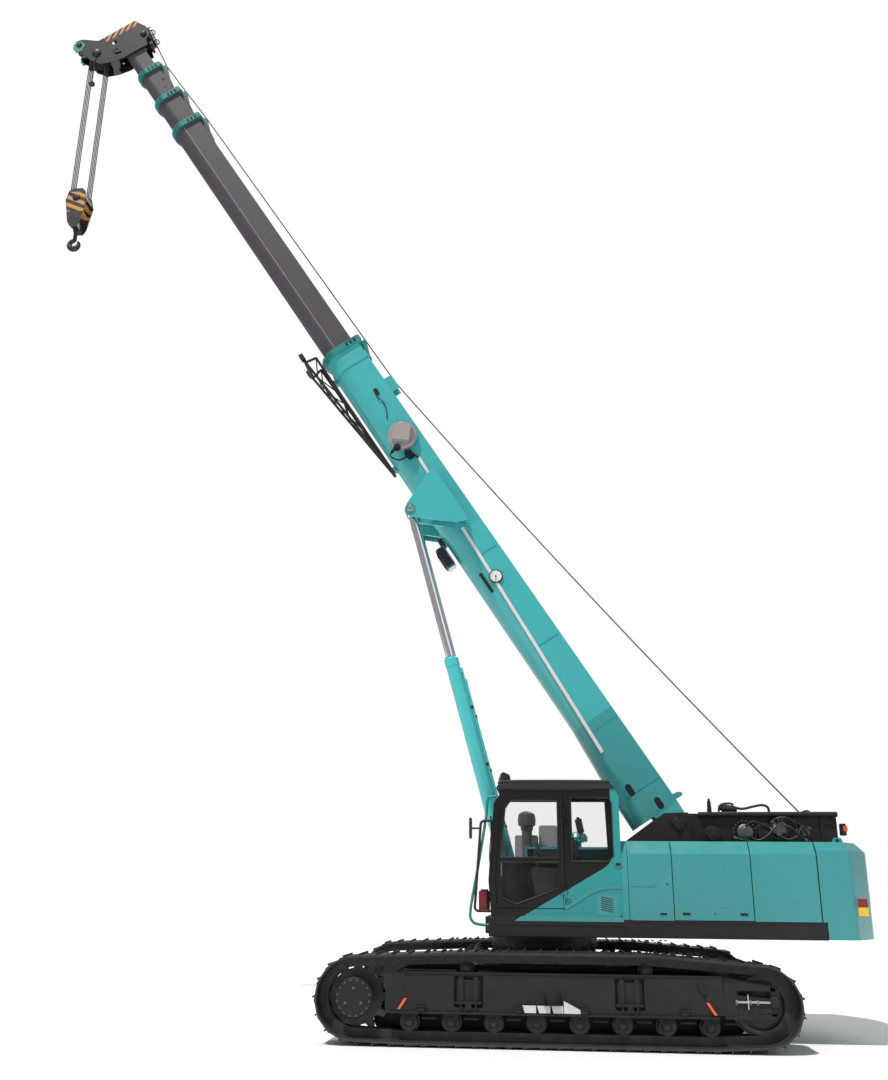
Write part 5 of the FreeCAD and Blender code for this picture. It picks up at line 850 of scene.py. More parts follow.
def dress_panels():
    """Latches, locks and beads of the side panels, the weight's reflectors and lamps, skirt and sill."""
    rims, slots = Pieces(), Pieces()
    for side, places in ((1, (-1.424,)), (-1, (-1.25, -0.55))):
        face = side * LEFT
        for x in places:
            latch(rims, x, 0.048, 0.058, 0.092, face, (0, 0.004), 0.008, 0.001)
            latch(slots, x, 0.04, 0.064, 0.086, face, (0.003, 0.006), 0.006, 0)
        lock(slots, -1.486, 1.768, face, 0.01)
    rims.done("panel_latch_rims", PANEL_PAINT_WITH_PAINTED_SHADE, DECK, "teal_paint")
    slots.done("panel_latch_slots", BLACK_PAINT, DECK, "cab_plastic")
    for side, body in ((1, "left_bay_door"), (-1, "right_bay_door")):
        face = side * LEFT
        made = Pieces()
        for x in (-1.691, -2.36):
            latch(made, x, 0.045, 0.064, 0.092, face, (0, 0.006), 0.006, 0.001)
        lock(made, -2.027, DECK_HIGH + 0.081, face, 0.009)
        made.done(body + "_latches", BLACK_PAINT, body, "cab_plastic")
    band = Pieces()
    for side in (1, -1):
        across = span(side, LEFT - 0.001, LEFT + 0.006)
        band.box((-3.24, -0.98), across, (DECK_HIGH - 0.03, DECK_HIGH - 0.012), 0.002)
        band.box((-3.24, -0.98), across, (DECK_LOW + 0.002, DECK_LOW + 0.018), 0.002)
    band.done("deck_edge_beads", DARK_PAINT, DECK, "dark_paint")
    red, yellow, lamps, housings = Pieces(), Pieces(), Pieces(), Pieces()
    for side in (1, -1):
        for made, low, high in ((red, 1.53, 1.625), (yellow, 1.432, 1.527)):
            made.box(
                (-3.8, -3.69), about(side * 1.405, 0.003), (low, high), 0.001, turned_by(-20 * side, "Z")
            )
        housings.box((-3.935, -3.865), span(side, 0.27, 0.36), (2.395, 2.545), 0.008)
        lamps.box((-3.95, -3.88), span(side, 0.25, 0.37), (2.432, 2.53), 0.016)
    red.done("red_reflectors", RED_LENS, DECK, "counterweight_paint")
    yellow.done("yellow_reflectors", YELLOW_LENS, DECK, "counterweight_paint")
    housings.done("marker_housings", DARK_PAINT, DECK, "dark_paint")
    lamps.done("marker_lamps", REFLECTOR, DECK, "dark_paint")
    seams = Pieces()
    for side in (1, -1):
        seams.box(
            (-3.262, -3.252), span(side, LEFT - 0.01, LEFT + 0.0015),
            (DECK_LOW + 0.02, PANEL_TOP - 0.16), 0.0005
        )
    seams.done("weight_seams", BLACK_PAINT, DECK, "cab_plastic")
    skirt = Pieces()
    skirt.plate(
        [(0.6, 1.336), (-0.95, 1.336), (-0.95, 1.166), (0.545, 1.166), (0.575, 1.25)],
        (LEFT - 0.004, LEFT + 0.016), 0.006
    )
    skirt.box((-0.165, -0.15), (LEFT + 0.01, LEFT + 0.0175), (1.175, 1.328), 0.0005)
    skirt.box((-0.94, 0.57), (LEFT + 0.012, LEFT + 0.024), (1.29, 1.306), 0.004)
    skirt.plate(
        [(0.62, 1.336), (0.355, 1.336), (0.268, 1.392), (0.62, 1.392)], (LEFT - 0.004, LEFT + 0.01), 0.002
    )
    skirt.done("cab_skirt", DARK_PAINT, DECK, "dark_paint")
    sill = Pieces()
    sill.plate(
        [(0.352, 1.337), (-0.95, 1.337), (-0.95, 1.392), (0.265, 1.392)], (LEFT - 0.004, LEFT + 0.01), 0.002
    )
    sill.done("cab_sill_panel", PANEL_PAINT_WITH_PAINTED_SHADE, DECK, "teal_paint")
    filler = Pieces()
    corner = [
        (LEFT, 1.363), (LEFT, 2.087), (LEFT - 0.118, PANEL_TOP), (LEFT - 0.16, PANEL_TOP),
        (LEFT - 0.045, 2.07), (LEFT - 0.045, 1.363)
    ]
    filler.plate(corner, (-1.0215, -0.9505), 0.002, axis="x")
    filler.plate(corner, (-1.0615, -1.0265), 0.002, axis="x")
    filler.box((-1.0615, -0.9515), (0.62, LEFT - 0.14), (PANEL_TOP - 0.012, PANEL_TOP), 0.002)
    filler.done("panel_behind_cab", PANEL_PAINT_WITH_PAINTED_SHADE, DECK, "teal_paint")


def dress_rear_and_right():
    """The right side's grilles, the exhaust, and the hatches and grip studs on top of the deck."""
    grille, frames = Pieces(), Pieces()
    face = -LEFT
    for start in (-0.95, -0.28):
        frames.plate(
            rounded((start - 0.27, 1.52), (start + 0.27, 2.02), 0.02), (face - 0.006, face + 0.002), 0.003
        )
        turn = turned_by(35, "X")
        for k in range(15):
            z = 1.55 + 0.031 * k
            grille.box(about(start, 0.24), (face - 0.012, face - 0.004), (z, z + 0.024), 0.002, turn)
    for k in range(14):
        z = 1.6 + 0.03 * k
        grille.box((-3.15, -2.62), (face - 0.01, face - 0.002), (z, z + 0.018), 0.002)
    frames.done("right_grille_frames", DARK_PAINT, DECK, "dark_paint")
    grille.done("right_grille_slats", BLACK_PAINT, DECK, "dark_paint")
    stack = Pieces()
    stack.turned(
        (-2.05, -0.88, PANEL_TOP - 0.002), Z,
        [(0, 0), (0.115, 0), (0.115, 0.02), (0.058, 0.03), (0.058, 0.24), (0.064, 0.25), (0.064, 0.3),
         (0.052, 0.3), (0.05, 0.1), (0, 0.1)], 40,
    )
    stack.done("exhaust_stack", CAST_STEEL, DECK, "dark_paint")
    top = Pieces()
    for x in (-2.95, -2.55, -1.35, -0.8):
        top.box(about(x, 0.14), (-1.2, -0.92), (PANEL_TOP - 0.001, PANEL_TOP + 0.012), 0.004)
    top.done("deck_top_hatches", PANEL_PAINT_WITH_PAINTED_SHADE, DECK, "teal_paint")
    grip = Pieces()
    for k in range(16):
        for row in range(3):
            x, y = -1.45 + 0.09 * k, -1.22 + 0.1 * row
            if -0.98 < x < -0.66:
                continue
            grip.rod((x, y, PANEL_TOP - 0.001), (x, y, PANEL_TOP + 0.004), 0.014, 8, 0.001)
    grip.done("deck_grip_studs", BLACK_PAINT, DECK, "dark_paint")


def dress_winches():
    """Rope on the drums, plates and roller, motor, hoses and fittings, and the foot pin's covers."""
    half, rope = 0.238, 0.0085
    turns = int(2 * half / (2 * rope))
    for body, radius in (("main_winch", 0.172), ("aux_winch", 0.146)):
        centre = Vector(JOINTS[body + "_turn"]["pos_m"])
        made = Pieces()
        for k in range(turns):
            y = -half + rope + 2 * rope * k
            ring = [(radius + a, y + b) for a, b in circle(rope, 8)]
            made.turned(centre, Y, ring + ring[:1], 40)
        made.done(body + "_rope", ROPE_STEEL, body, "wire_rope", 60)
        flanges = Pieces()
        for side in (1, -1):
            for a, b in circle(0.105, 8):
                flanges.bolt(centre + Vector((a, side * 0.262, b)), (0, side, 0), 0.01, 0.008)
        flanges.done(body + "_flange_bolts", BOLT_STEEL, body, "wire_rope")
    cover = Pieces()
    for side in (1, -1):
        face = side * 0.585
        cover.turned(
            (FOOT.x, face - side * 0.004, FOOT.z), (0, side, 0),
            disc((0.082, 0), (0.082, 0.012), (0.07, 0.018)), 40
        )
        for a, b in circle(0.088, 4):
            x, z = FOOT.x + a, FOOT.z + b
            cover.rod((x, face - side * 0.002, z), (x, face + side * 0.016, z), 0.021, 20)
            cover.bolt((x, face + side * 0.014, z), (0, side, 0), 0.012, 0.01)
    cover.done("foot_pin_covers", DARK_PAINT, DECK, "dark_paint")
    steel = Pieces()
    steel.plate([(-2.246, 2.655), (-2.18, 2.655), (-2.19, 2.83), (-2.236, 2.83)], (0.3, 0.308), 0.001)
    for z in (2.7, 2.745, 2.79):
        steel.rod((-2.213, 0.3, z), (-2.213, 0.318, z), 0.014, 16)
    steel.rod((-2.213, 0.304, 2.828), (-2.213, 0.304, 2.862), 0.016)
    for side in (1, -1):
        steel.plate(oblong(-3.835, 2.288, -2.9, 2.64), span(side, 0.286, 0.298), 0.003)
        steel.plate(
            [(-1.055, 2.275), (-1.9, 2.275), (-1.9, 2.668), (-1.59, 2.655)], span(side, 0.562, 0.574), 0.003
        )
        steel.rod((-2.06, side * 0.34, 2.655), (-3.84, side * 0.34, 2.662), 0.034, 20)
        for x in (-2.3, -3.05, -3.78):
            steel.box(about(x, 0.02), span(side, 0.29, 0.345), (2.6, 2.66), 0.004)
    steel.box((-3.66, -3.62), (0.3, 0.316), (2.285, 2.6), 0.004)
    steel.box((-2.16, -1.96), (0.56, 0.572), (2.4, 2.44), 0.004)
    x, z = ROPE_ROLLER
    steel.rod((x, -0.288, z), (x, 0.288, z), 0.022, 20)
    steel.turned(
        (x, -0.15, z), Y, [(0.022, 0), (0.075, 0), (0.06, 0.02), (0.06, 0.28), (0.075, 0.3), (0.022, 0.3)], 40
    )
    steel.done("winch_plate_stiffeners", DARK_PAINT, DECK, "dark_paint")
    motor = Pieces()
    motor.turned(
        (-2.6, 0.12, 2.735), (1, 0, 0.1),
        disc(
            (0.03, 0), (0.046, 0.02), (0.052, 0.08), (0.052, 0.15), (0.06, 0.16), (0.06, 0.19), (0.034, 0.2),
            (0.034, 0.24)
        ), 28
    )
    motor.box((-2.56, -2.42), (0.07, 0.17), (2.665, 2.72), 0.01)
    motor.done("drum_guide_motor", CAST_STEEL, DECK, "dark_paint")
    fittings, hoses = Pieces(), Pieces()
    hoses.pipe(
        [
            (-2.58, 0.12, 2.76), (-2.68, 0.13, 2.745), (-2.82, 0.15, 2.775), (-2.93, 0.17, 2.79),
            (-3.0, 0.18, 2.755), (-3.005, 0.19, 2.66)
        ],
        0.017, 14
    )
    hoses.pipe(
        [
            (-2.56, 0.14, 2.8), (-2.5, 0.14, 2.815), (-2.4, 0.14, 2.8), (-2.36, 0.15, 2.74),
            (-2.36, 0.16, 2.66)
        ],
        0.014, 12
    )
    face = 0.345
    for spot, radius in (((-2.64, face, 2.43), 0.145), ((-3.08, face, 2.45), 0.1)):
        for a, b in circle(radius, 18):
            fittings.bolt((spot[0] + a, face + 0.01, spot[2] + b), Y, 0.01, 0.014)
        fittings.turned(spot, Y, disc((radius * 0.72, 0), (radius * 0.72, 0.05), (radius * 0.5, 0.07)), 36)
    runs = [
        [(-2.62, 0.4, 2.47), (-2.72, 0.43, 2.56), (-2.85, 0.44, 2.53), (-2.98, 0.43, 2.46)],
        [(-2.66, 0.4, 2.4), (-2.78, 0.44, 2.33), (-2.9, 0.45, 2.38), (-3.02, 0.43, 2.5)],
        [
            (-3.0, 0.42, 2.52), (-3.14, 0.44, 2.58), (-3.3, 0.44, 2.55), (-3.42, 0.42, 2.42),
            (-3.45, 0.4, 2.29)
        ],
        [
            (-3.05, 0.42, 2.4), (-3.16, 0.45, 2.34), (-3.28, 0.45, 2.38), (-3.36, 0.43, 2.5),
            (-3.46, 0.41, 2.48)
        ],
        [(-2.5, 0.41, 2.36), (-2.6, 0.45, 2.33), (-2.74, 0.45, 2.31), (-2.86, 0.43, 2.29)],
        [(-3.12, 0.42, 2.53), (-3.22, 0.46, 2.48), (-3.3, 0.46, 2.4), (-3.4, 0.44, 2.33)],
        [
            (-2.98, 0.42, 2.55), (-3.04, 0.46, 2.6), (-3.16, 0.46, 2.61), (-3.26, 0.44, 2.55),
            (-3.3, 0.42, 2.44)
        ]
    ]
    for k, run in enumerate(runs):
        hoses.pipe(run, 0.011 + 0.002 * (k % 2), 10)
        for spot, other in ((run[0], run[1]), (run[-1], run[-2])):
            way = (Vector(other) - Vector(spot)).normalized()
            fittings.turned(Vector(spot) - way * 0.01, way, disc((0.02, 0), (0.02, 0.035), (0.014, 0.045)), 6)
    fittings.box((-3.16, -2.98), (0.34, 0.42), (2.42, 2.56), 0.008)
    fittings.box((-3.46, -3.36), (0.33, 0.4), (2.38, 2.5), 0.008)
    for k in range(3):
        fittings.rod((-3.13 + 0.055 * k, 0.38, 2.555), (-3.13 + 0.055 * k, 0.38, 2.6), 0.017, 16)
    hoses.done("winch_hoses", HOSE_RUBBER, DECK, "dark_paint")
    fittings.done("winch_fittings", BOLT_STEEL, DECK, "dark_paint")


# ---------------- cab
def dress_cab():
    """The cab's side: trim, grille, raised panels, window and door seals, and the door's speaker."""
    door_face = LEFT + 0.006
    trim = Pieces()
    low, top = CAB_LOW[2], CAB_HIGH[2]
    trim.plate(oblong(-0.245, low + 0.1, -0.2395, top - 0.1), (door_face - 0.003, door_face + 0.001), 0)
    trim.box((-0.6, 0.36), (LEFT - 0.012, LEFT + 0.014), (top - 0.03, top - 0.012), 0.006)
    trim.box((0.455, 0.505), (door_face, door_face + 0.01), (low + 0.645, low + 0.668), 0.004)
    trim.box((-0.2, 0.5), (door_face, door_face + 0.008), (low + 0.642, low + 0.668), 0.003)
    for k in range(7):
        z = 1.455 + 0.024 * k
        trim.plate(
            [(-0.835, z - 0.012), (-0.835, z - 0.002), (-0.69, z + 0.026), (-0.69, z + 0.016)],
            (LEFT - 0.002, LEFT + 0.003), 0
        )
    trim.rod((-0.927, LEFT - 0.002, 1.4), (-0.927, LEFT + 0.005, 1.4), 0.012)
    trim.plate(rounded((-0.945, 1.976), (-0.879, 2.01), 0.012), (LEFT + 0.01, LEFT + 0.013), 0)
    trim.done("cab_side_trim", CAB_TRIM, DECK, "cab_plastic")
    raised = Pieces()
    raised.plate(rounded((-0.88, 1.408), (-0.645, 1.642), 0.025), (LEFT - 0.002, LEFT + 0.0018), 0.001)
    swoosh = [(-0.262, 1.512), (-0.4, 1.59), (-0.56, 1.685), (-0.68, 1.73), (-0.8, 1.742), (-0.945, 1.742)]
    lower = [(a, b - 0.052 + 0.004 * k) for k, (a, b) in enumerate(swoosh)]
    raised.plate(swoosh + lower[::-1], (LEFT - 0.004, LEFT + 0.007), 0.005)
    raised.plate(rounded((-0.965, 1.96), (-0.859, 2.026), 0.024), (LEFT - 0.002, LEFT + 0.01), 0.004)
    raised.plate(rounded((-0.367, 1.558), (-0.3, 1.702), 0.01), (LEFT - 0.002, LEFT + 0.008), 0.003)
    raised.done("cab_raised_panel", PANEL_PAINT_WITH_PAINTED_SHADE, DECK, "teal_paint")
    streak = Pieces()
    upper = [(-1.062, 1.786), (-1.2, 1.79), (-1.38, 1.788)]
    streak.plate(upper + [(-1.33, 1.735), (-1.2, 1.74), (-1.062, 1.738)], (LEFT - 0.004, LEFT + 0.005), 0.004)
    streak.done("panel_streak", PANEL_PAINT_WITH_PAINTED_SHADE, DECK, "teal_paint")
    seals = Pieces()
    upper_pane = [(0.512, 2.067), (0.447, 2.658), (0.377, 2.743), (-0.193, 2.743), (-0.193, 2.067)]
    lower_pane = [
        (0.502, 1.602), (0.512, 2.013), (-0.193, 2.013), (-0.193, 1.717), (0.322, 1.527), (0.397, 1.557)
    ]
    for pane in (upper_pane, lower_pane):
        ring = [(a, door_face + 0.001, b) for a, b in pane]
        seals.pipe(ring + ring[:1], 0.008, 8, False)
    seals.box((0.478, 0.5), (door_face, door_face + 0.028), (1.86, 1.92), 0.006)
    seals.done("door_seals", HOSE_RUBBER, "cab_door", "cab_plastic")
    speaker = Pieces()
    speaker.turned(
        (0.475, LEFT - 0.05, 1.54), Y, [(0, 0), (0.052, 0), (0.052, 0.012), (0.044, 0.016), (0, 0.01)], 32
    )
    speaker.done("door_speaker", CAB_TRIM, "cab_door", "cab_plastic")
    window_seal = Pieces()
    side_pane = [
        (-0.362, 2.028), (-0.362, 2.778), (-0.828, 2.778), (-0.858, 2.718), (-0.858, 2.088), (-0.798, 2.028)
    ]
    ring = [(a, LEFT + 0.001, b) for a, b in side_pane]
    window_seal.pipe(ring + ring[:1], 0.009, 8, False)
    window_seal.done("side_window_seal", HOSE_RUBBER, DECK, "cab_plastic")


def dress_cab_front():
    """The front lamp in its frame, and the work lights, guard bars, wiper and aerial of the roof."""
    frame_part, lens, glass_part, dark = Pieces(), Pieces(), Pieces(), Pieces()
    frame_part.box((0.664, 0.79), (1.0, 1.155), (1.425, 1.695), 0.02)
    lens.box((0.686, 0.796), (1.02, 1.164), (1.44, 1.68), 0.012)
    frame_part.done("front_lamp_frame", CAB_TRIM, DECK, "cab_plastic")
    lens.done("front_lamp_lens", RED_LENS, DECK, "cab_plastic")
    turn = turned_by(-24, "Y")
    for y in (1.27, 0.8):
        dark.box((0.4, 0.52), about(y, 0.075), (2.965, 3.095), 0.016, turn)
        glass_part.box((0.515, 0.524), about(y, 0.062), (2.955, 3.055), 0.006, turn)
        dark.rod((0.44, y, 2.885), (0.45, y, 2.99), 0.012)
    for k in range(9):
        x = -0.62 + 0.115 * k
        dark.rod((x, 0.68, 2.972), (x, 1.385, 2.972), 0.009, 12)
    dark.box((0.22, 0.36), (0.66, 0.7), (2.895, 2.91), 0.003)
    arm = [(0.655, 0.86, 1.9), (0.672, 0.9, 2.1), (0.645, 1.0, 2.38), (0.628, 1.06, 2.52)]
    dark.pipe(arm, 0.007, 8)
    dark.box((0.628, 0.648), (0.86, 1.26), (2.41, 2.425), 0.003, turned_by(52, "X"))
    dark.pipe([(0.44, 1.4, 2.89), (0.46, 1.405, 2.96), (0.45, 1.41, 3.02)], 0.004, 8)
    dark.done("roof_fittings", CAB_TRIM, DECK, "cab_plastic")
    glass_part.done("roof_lamp_lenses", CLEAR_LENS, DECK, "cab_glass")


def dress_roof():
    """The roof cap with its rounded front, the bent guard bar before the cab, and the far wall's lining."""
    cap = Pieces()
    side = [
        (0.545, 2.868), (0.56, 2.9), (0.52, 2.95), (0.44, 2.964), (-0.78, 2.964), (-0.868, 2.94),
        (-0.9, 2.895), (-0.9, 2.884), (0.4, 2.884)
    ]
    cap.plate(side, (CAB_LOW[1] + 0.004, CAB_HIGH[1] - 0.03), 0.012)
    for y in (CAB_LOW[1] + 0.03, CAB_HIGH[1] - 0.055):
        cap.pipe([(0.5, y, 2.94), (0.42, y, 2.976), (-0.72, y, 2.976), (-0.84, y, 2.955)], 0.02, 12)
    cap.done("cab_roof_cap", CAB_TRIM, DECK, "cab_plastic")
    bar = Pieces()
    bar.pipe(
        [(0.56, 1.4, 2.8), (0.662, 1.4, 2.765), (0.69, 1.4, 2.53), (0.79, 1.4, 1.95), (0.88, 1.4, 1.47),
         (0.862, 1.4, 1.33), (0.76, 1.4, 1.29), (0.64, 1.4, 1.286)],
        0.017, 14,
    )
    bar.done("front_guard_bar", TEAL_DARK, DECK, "teal_paint")
    lining = Pieces()
    near = CAB_LOW[1] + 0.052
    lining.plate(
        [(-0.88, 1.46), (0.42, 1.46), (0.52, 1.62), (0.53, 2.02), (-0.88, 2.02)], (near, near + 0.012), 0.004
    )
    lining.box((-0.886, -0.872), (near + 0.02, CAB_HIGH[1] - 0.09), (1.46, 2.02), 0.004)
    lining.box((-0.345, -0.21), (LEFT - 0.09, LEFT - 0.08), (CAB_LOW[2] + 0.3, CAB_HIGH[2] - 0.1), 0.003)
    lining.done("cab_far_lining", CONSOLE, DECK, "cab_plastic")


def dress_inside():
    """The seat as cushions on a stand with bellows, and the levers."""
    low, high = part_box("operator_seat")
    centre = (low.y + high.y) / 2
    seat, floor = Pieces(), low.z
    seat.box((-0.37, 0.05), about(centre, 0.205), (floor + 0.262, floor + 0.372), 0.045)
    tilt = turned_by(11, "Y")
    seat.box((-0.475, -0.37), about(centre, 0.2), (floor + 0.38, floor + 0.89), 0.045, tilt)
    seat.box((-0.515, -0.435), about(centre, 0.125), (floor + 0.925, floor + 1.14), 0.035, tilt)
    for k in range(4):
        z = floor + 0.47 + 0.1 * k
        seat.rod((-0.352 - 0.02 * k, centre - 0.15, z), (-0.352 - 0.02 * k, centre + 0.15, z), 0.006, 10)
    cushion = seat.done("seat_cushions", SEAT_CLOTH, DECK, "seat_cloth", 50)
    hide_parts("operator_seat")
    stand = Pieces()
    stand.box((-0.33, 0.0), about(centre, 0.16), (floor + 0.002, floor + 0.05), 0.01)
    for k in range(6):
        stand.box(
            (-0.3, -0.03), about(centre, 0.13), (floor + 0.06 + 0.03 * k, floor + 0.082 + 0.03 * k), 0.01
        )
    stand.box((-0.34, 0.01), about(centre, 0.17), (floor + 0.238, floor + 0.262), 0.006)
    for side in (1, -1):
        y = centre + side * 0.07
        stand.rod((-0.47, y, floor + 0.87), (-0.49, y, floor + 0.95), 0.008)
    stand.done("seat_stand", CAB_TRIM, DECK, "cab_plastic")
    levers = Pieces()
    for side in (1, -1):
        y = centre + side * 0.275
        levers.pipe([(0.02, y, floor + 0.6), (0.03, y, floor + 0.68), (0.05, y, floor + 0.72)], 0.01, 10)
        levers.turned(
            (0.045, y, floor + 0.71), (0.25, 0, 1),
            disc((0.02, 0.0), (0.026, 0.03), (0.024, 0.08), (0.03, 0.11), (0.018, 0.125)), 20
        )
    for k in (-1, 1):
        y = centre + k * 0.07
        levers.pipe([(0.36, y, floor + 0.06), (0.33, y, floor + 0.35), (0.31, y, floor + 0.52)], 0.01, 10)
        levers.rod((0.31, y, floor + 0.52), (0.305, y, floor + 0.62), 0.019)
        levers.box((0.28, 0.4), about(y, 0.035), (floor + 0.045, floor + 0.062), 0.006)
    levers.done("cab_levers", CAB_TRIM, DECK, "cab_plastic")


def dress_far_deck():
    """On the right of the deck, seen past the cab: an air pre-cleaner and two grey boxes."""
    dome = Pieces()
    spot = Vector((0.22, -0.86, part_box("tool_locker")[1][2] - 0.002))
    profile = [
        (0, 0), (0.075, 0), (0.075, 0.55), (0.09, 0.57), (0.09, 0.61), (0.125, 0.63), (0.13, 0.72),
        (0.112, 0.79), (0.06, 0.82), (0, 0.83)
    ]
    dome.turned(spot, Z, profile, 40)
    dome.done("air_cleaner_dome", GREY_PAINT, DECK, "dark_paint")
    boxes = Pieces()
    boxes.box((-0.225, 0.05), (-1.3, -1.02), (spot.z, spot.z + 0.64), 0.015)
    boxes.box((0.06, 0.4), (-1.3, -1.02), (spot.z, spot.z + 0.5), 0.015)
    boxes.rod((-0.33, -1.15, spot.z), (-0.33, -1.15, spot.z + 0.5), 0.055)
    boxes.done("deck_valve_boxes", REEL_PAINT, DECK, "dark_paint")


# ---------------- boom
def dress_boom_base():
    """The base's foot shell, conduit, slots and cables, work light, lugs and their pins."""
    half = BASE_HALF
    lug_s, lug_q = LUG_PIN
    strip, foot = Pieces(BOOM), Pieces(BOOM)
    spine = []
    for s, low in ((0.235, -0.5), (0.62, -0.497), (1.75, -0.424)):
        ring = [(s, half + 0.0015, BASE_TOP - 0.001), (s, -half - 0.0015, BASE_TOP - 0.001)]
        bend = low + half
        for a, b in circle(1, 17, 180, 180 / 16):
            ring.append((s, (half + 0.0015) * a, bend + half * b))
        spine.append(ring)
    count = len(spine[0])
    faces = [list(range(count)), list(range(2 * count, 3 * count))[::-1]]
    for ring in range(2):
        for k in range(count):
            n = (k + 1) % count
            faces.append([ring * count + n, ring * count + k, (ring + 1) * count + k, (ring + 1) * count + n])
    foot.solid([point for ring in spine for point in ring], faces)
    foot.done("boom_foot_shell", PANEL_PAINT_WITH_PAINTED_SHADE, "boom_base", "teal_paint", 40)
    tall = 0.024
    upper, lower = (6.44, -0.052), (1.3, -0.268)
    corners = ((upper, -tall), (upper, tall), (lower, tall), (lower, -tall))
    outline = [(s, q + rise) for (s, q), rise in corners]
    strip.plate(outline, (half + 0.0005, half + 0.02), 0.004)
    strip.done("boom_conduit", WHITE_PAINT, "boom_base", "reel_grey")
    dark = Pieces(BOOM)
    # The rounded black plates on each side stand for openings in the base: their black is painted shade for
    # the dark inside.
    for s, q in ((0.69, -0.245), (0.345, -0.02)):
        for y in (1, -1):
            dark.plate(
                rounded((s - 0.085, q - 0.042), (s + 0.085, q + 0.042), 0.04),
                span(y, half - 0.004, half + 0.004), 0
            )
    for y in (1, -1):
        dark.plate(oblong(0.612, -0.36, 0.618, 0.198), span(y, half - 0.003, half + 0.0015), 0)
    cable = [
        (6.42, half + 0.012, -0.06), (6.52, half + 0.03, -0.085), (6.6, half + 0.036, -0.15),
        (6.66, half + 0.04, -0.17)
    ]
    dark.pipe(cable, 0.01, 10)
    dark.box((6.52, 6.62), (half + 0.002, half + 0.05), (-0.205, -0.135), 0.01)
    loop = [
        (7.72, half + 0.01, -0.02), (7.66, half + 0.022, -0.06), (7.55, half + 0.018, -0.02),
        (7.4, half + 0.012, -0.05), (7.26, half + 0.01, -0.12)
    ]
    dark.pipe(loop, 0.007, 8)
    dark.box((7.7, 7.82), (half + 0.001, half + 0.03), (-0.045, 0.015), 0.008)
    dark.done("boom_slots_and_cables", BLACK_PAINT, "boom_base", "cab_plastic")
    lamp = Pieces(BOOM)
    lamp.box((4.745, 5.095), (-0.105, 0.105), (-0.622, -0.472), 0.02)
    lamp.box((5.07, 5.215), (-0.07, 0.07), (-0.505, -0.425), 0.012)
    for k in range(7):
        lamp.box((4.8 + 0.036 * k, 4.812 + 0.036 * k), (-0.112, 0.112), (-0.634, -0.52), 0.003)
    lamp.done("boom_work_light", CAB_TRIM, "boom_base", "cab_plastic")
    lens = Pieces(BOOM)
    lens.box((4.732, 4.748), (-0.088, 0.088), (-0.605, -0.488), 0.006)
    lens.done("boom_light_lens", CLEAR_LENS, "boom_base", "cab_glass")
    teal = Pieces(BOOM)
    teal.plate(
        [(0.27, 0.19), (0.35, 0.19), (0.335, 0.3), (0.3, 0.345), (0.268, 0.335), (0.262, 0.3)],
        (0.05, 0.075), 0.006
    )
    for y in (1, -1):
        teal.turned(
            (0.53, y * (half - 0.002), -0.04), (0, y, 0), disc((0.085, 0), (0.085, 0.004), (0.078, 0.006)), 36
        )
        for s in (1.6, 3.0, 4.6):
            teal.box((s, s + 0.01), span(y, half - 0.002, half + 0.006), (-0.16, 0.17), 0.002)
        teal.turned((lug_s, y * 0.553, lug_q), (0, y, 0), disc((0.08, 0), (0.08, 0.008)), 36)
    for k in range(7):
        s = 5.14 + 0.145 * k
        teal.box(about(s, 0.03), (-0.05, 0.05), (BASE_TOP - 0.001, BASE_TOP + 0.006), 0.002)
    teal.done("boom_base_lugs", PANEL_PAINT_WITH_PAINTED_SHADE, "boom_base", "teal_paint")
    pins = Pieces(BOOM)
    for y in (1, -1):
        pins.turned((lug_s, y * 0.556, lug_q), (0, y, 0), disc((0.048, 0), (0.048, 0.018), (0.04, 0.026)), 32)
        pins.bolt((lug_s, y * 0.58, lug_q), (0, y, 0), 0.013)
    pins.done("lug_pins", BRIGHT_STEEL, "boom_base", "wire_rope")


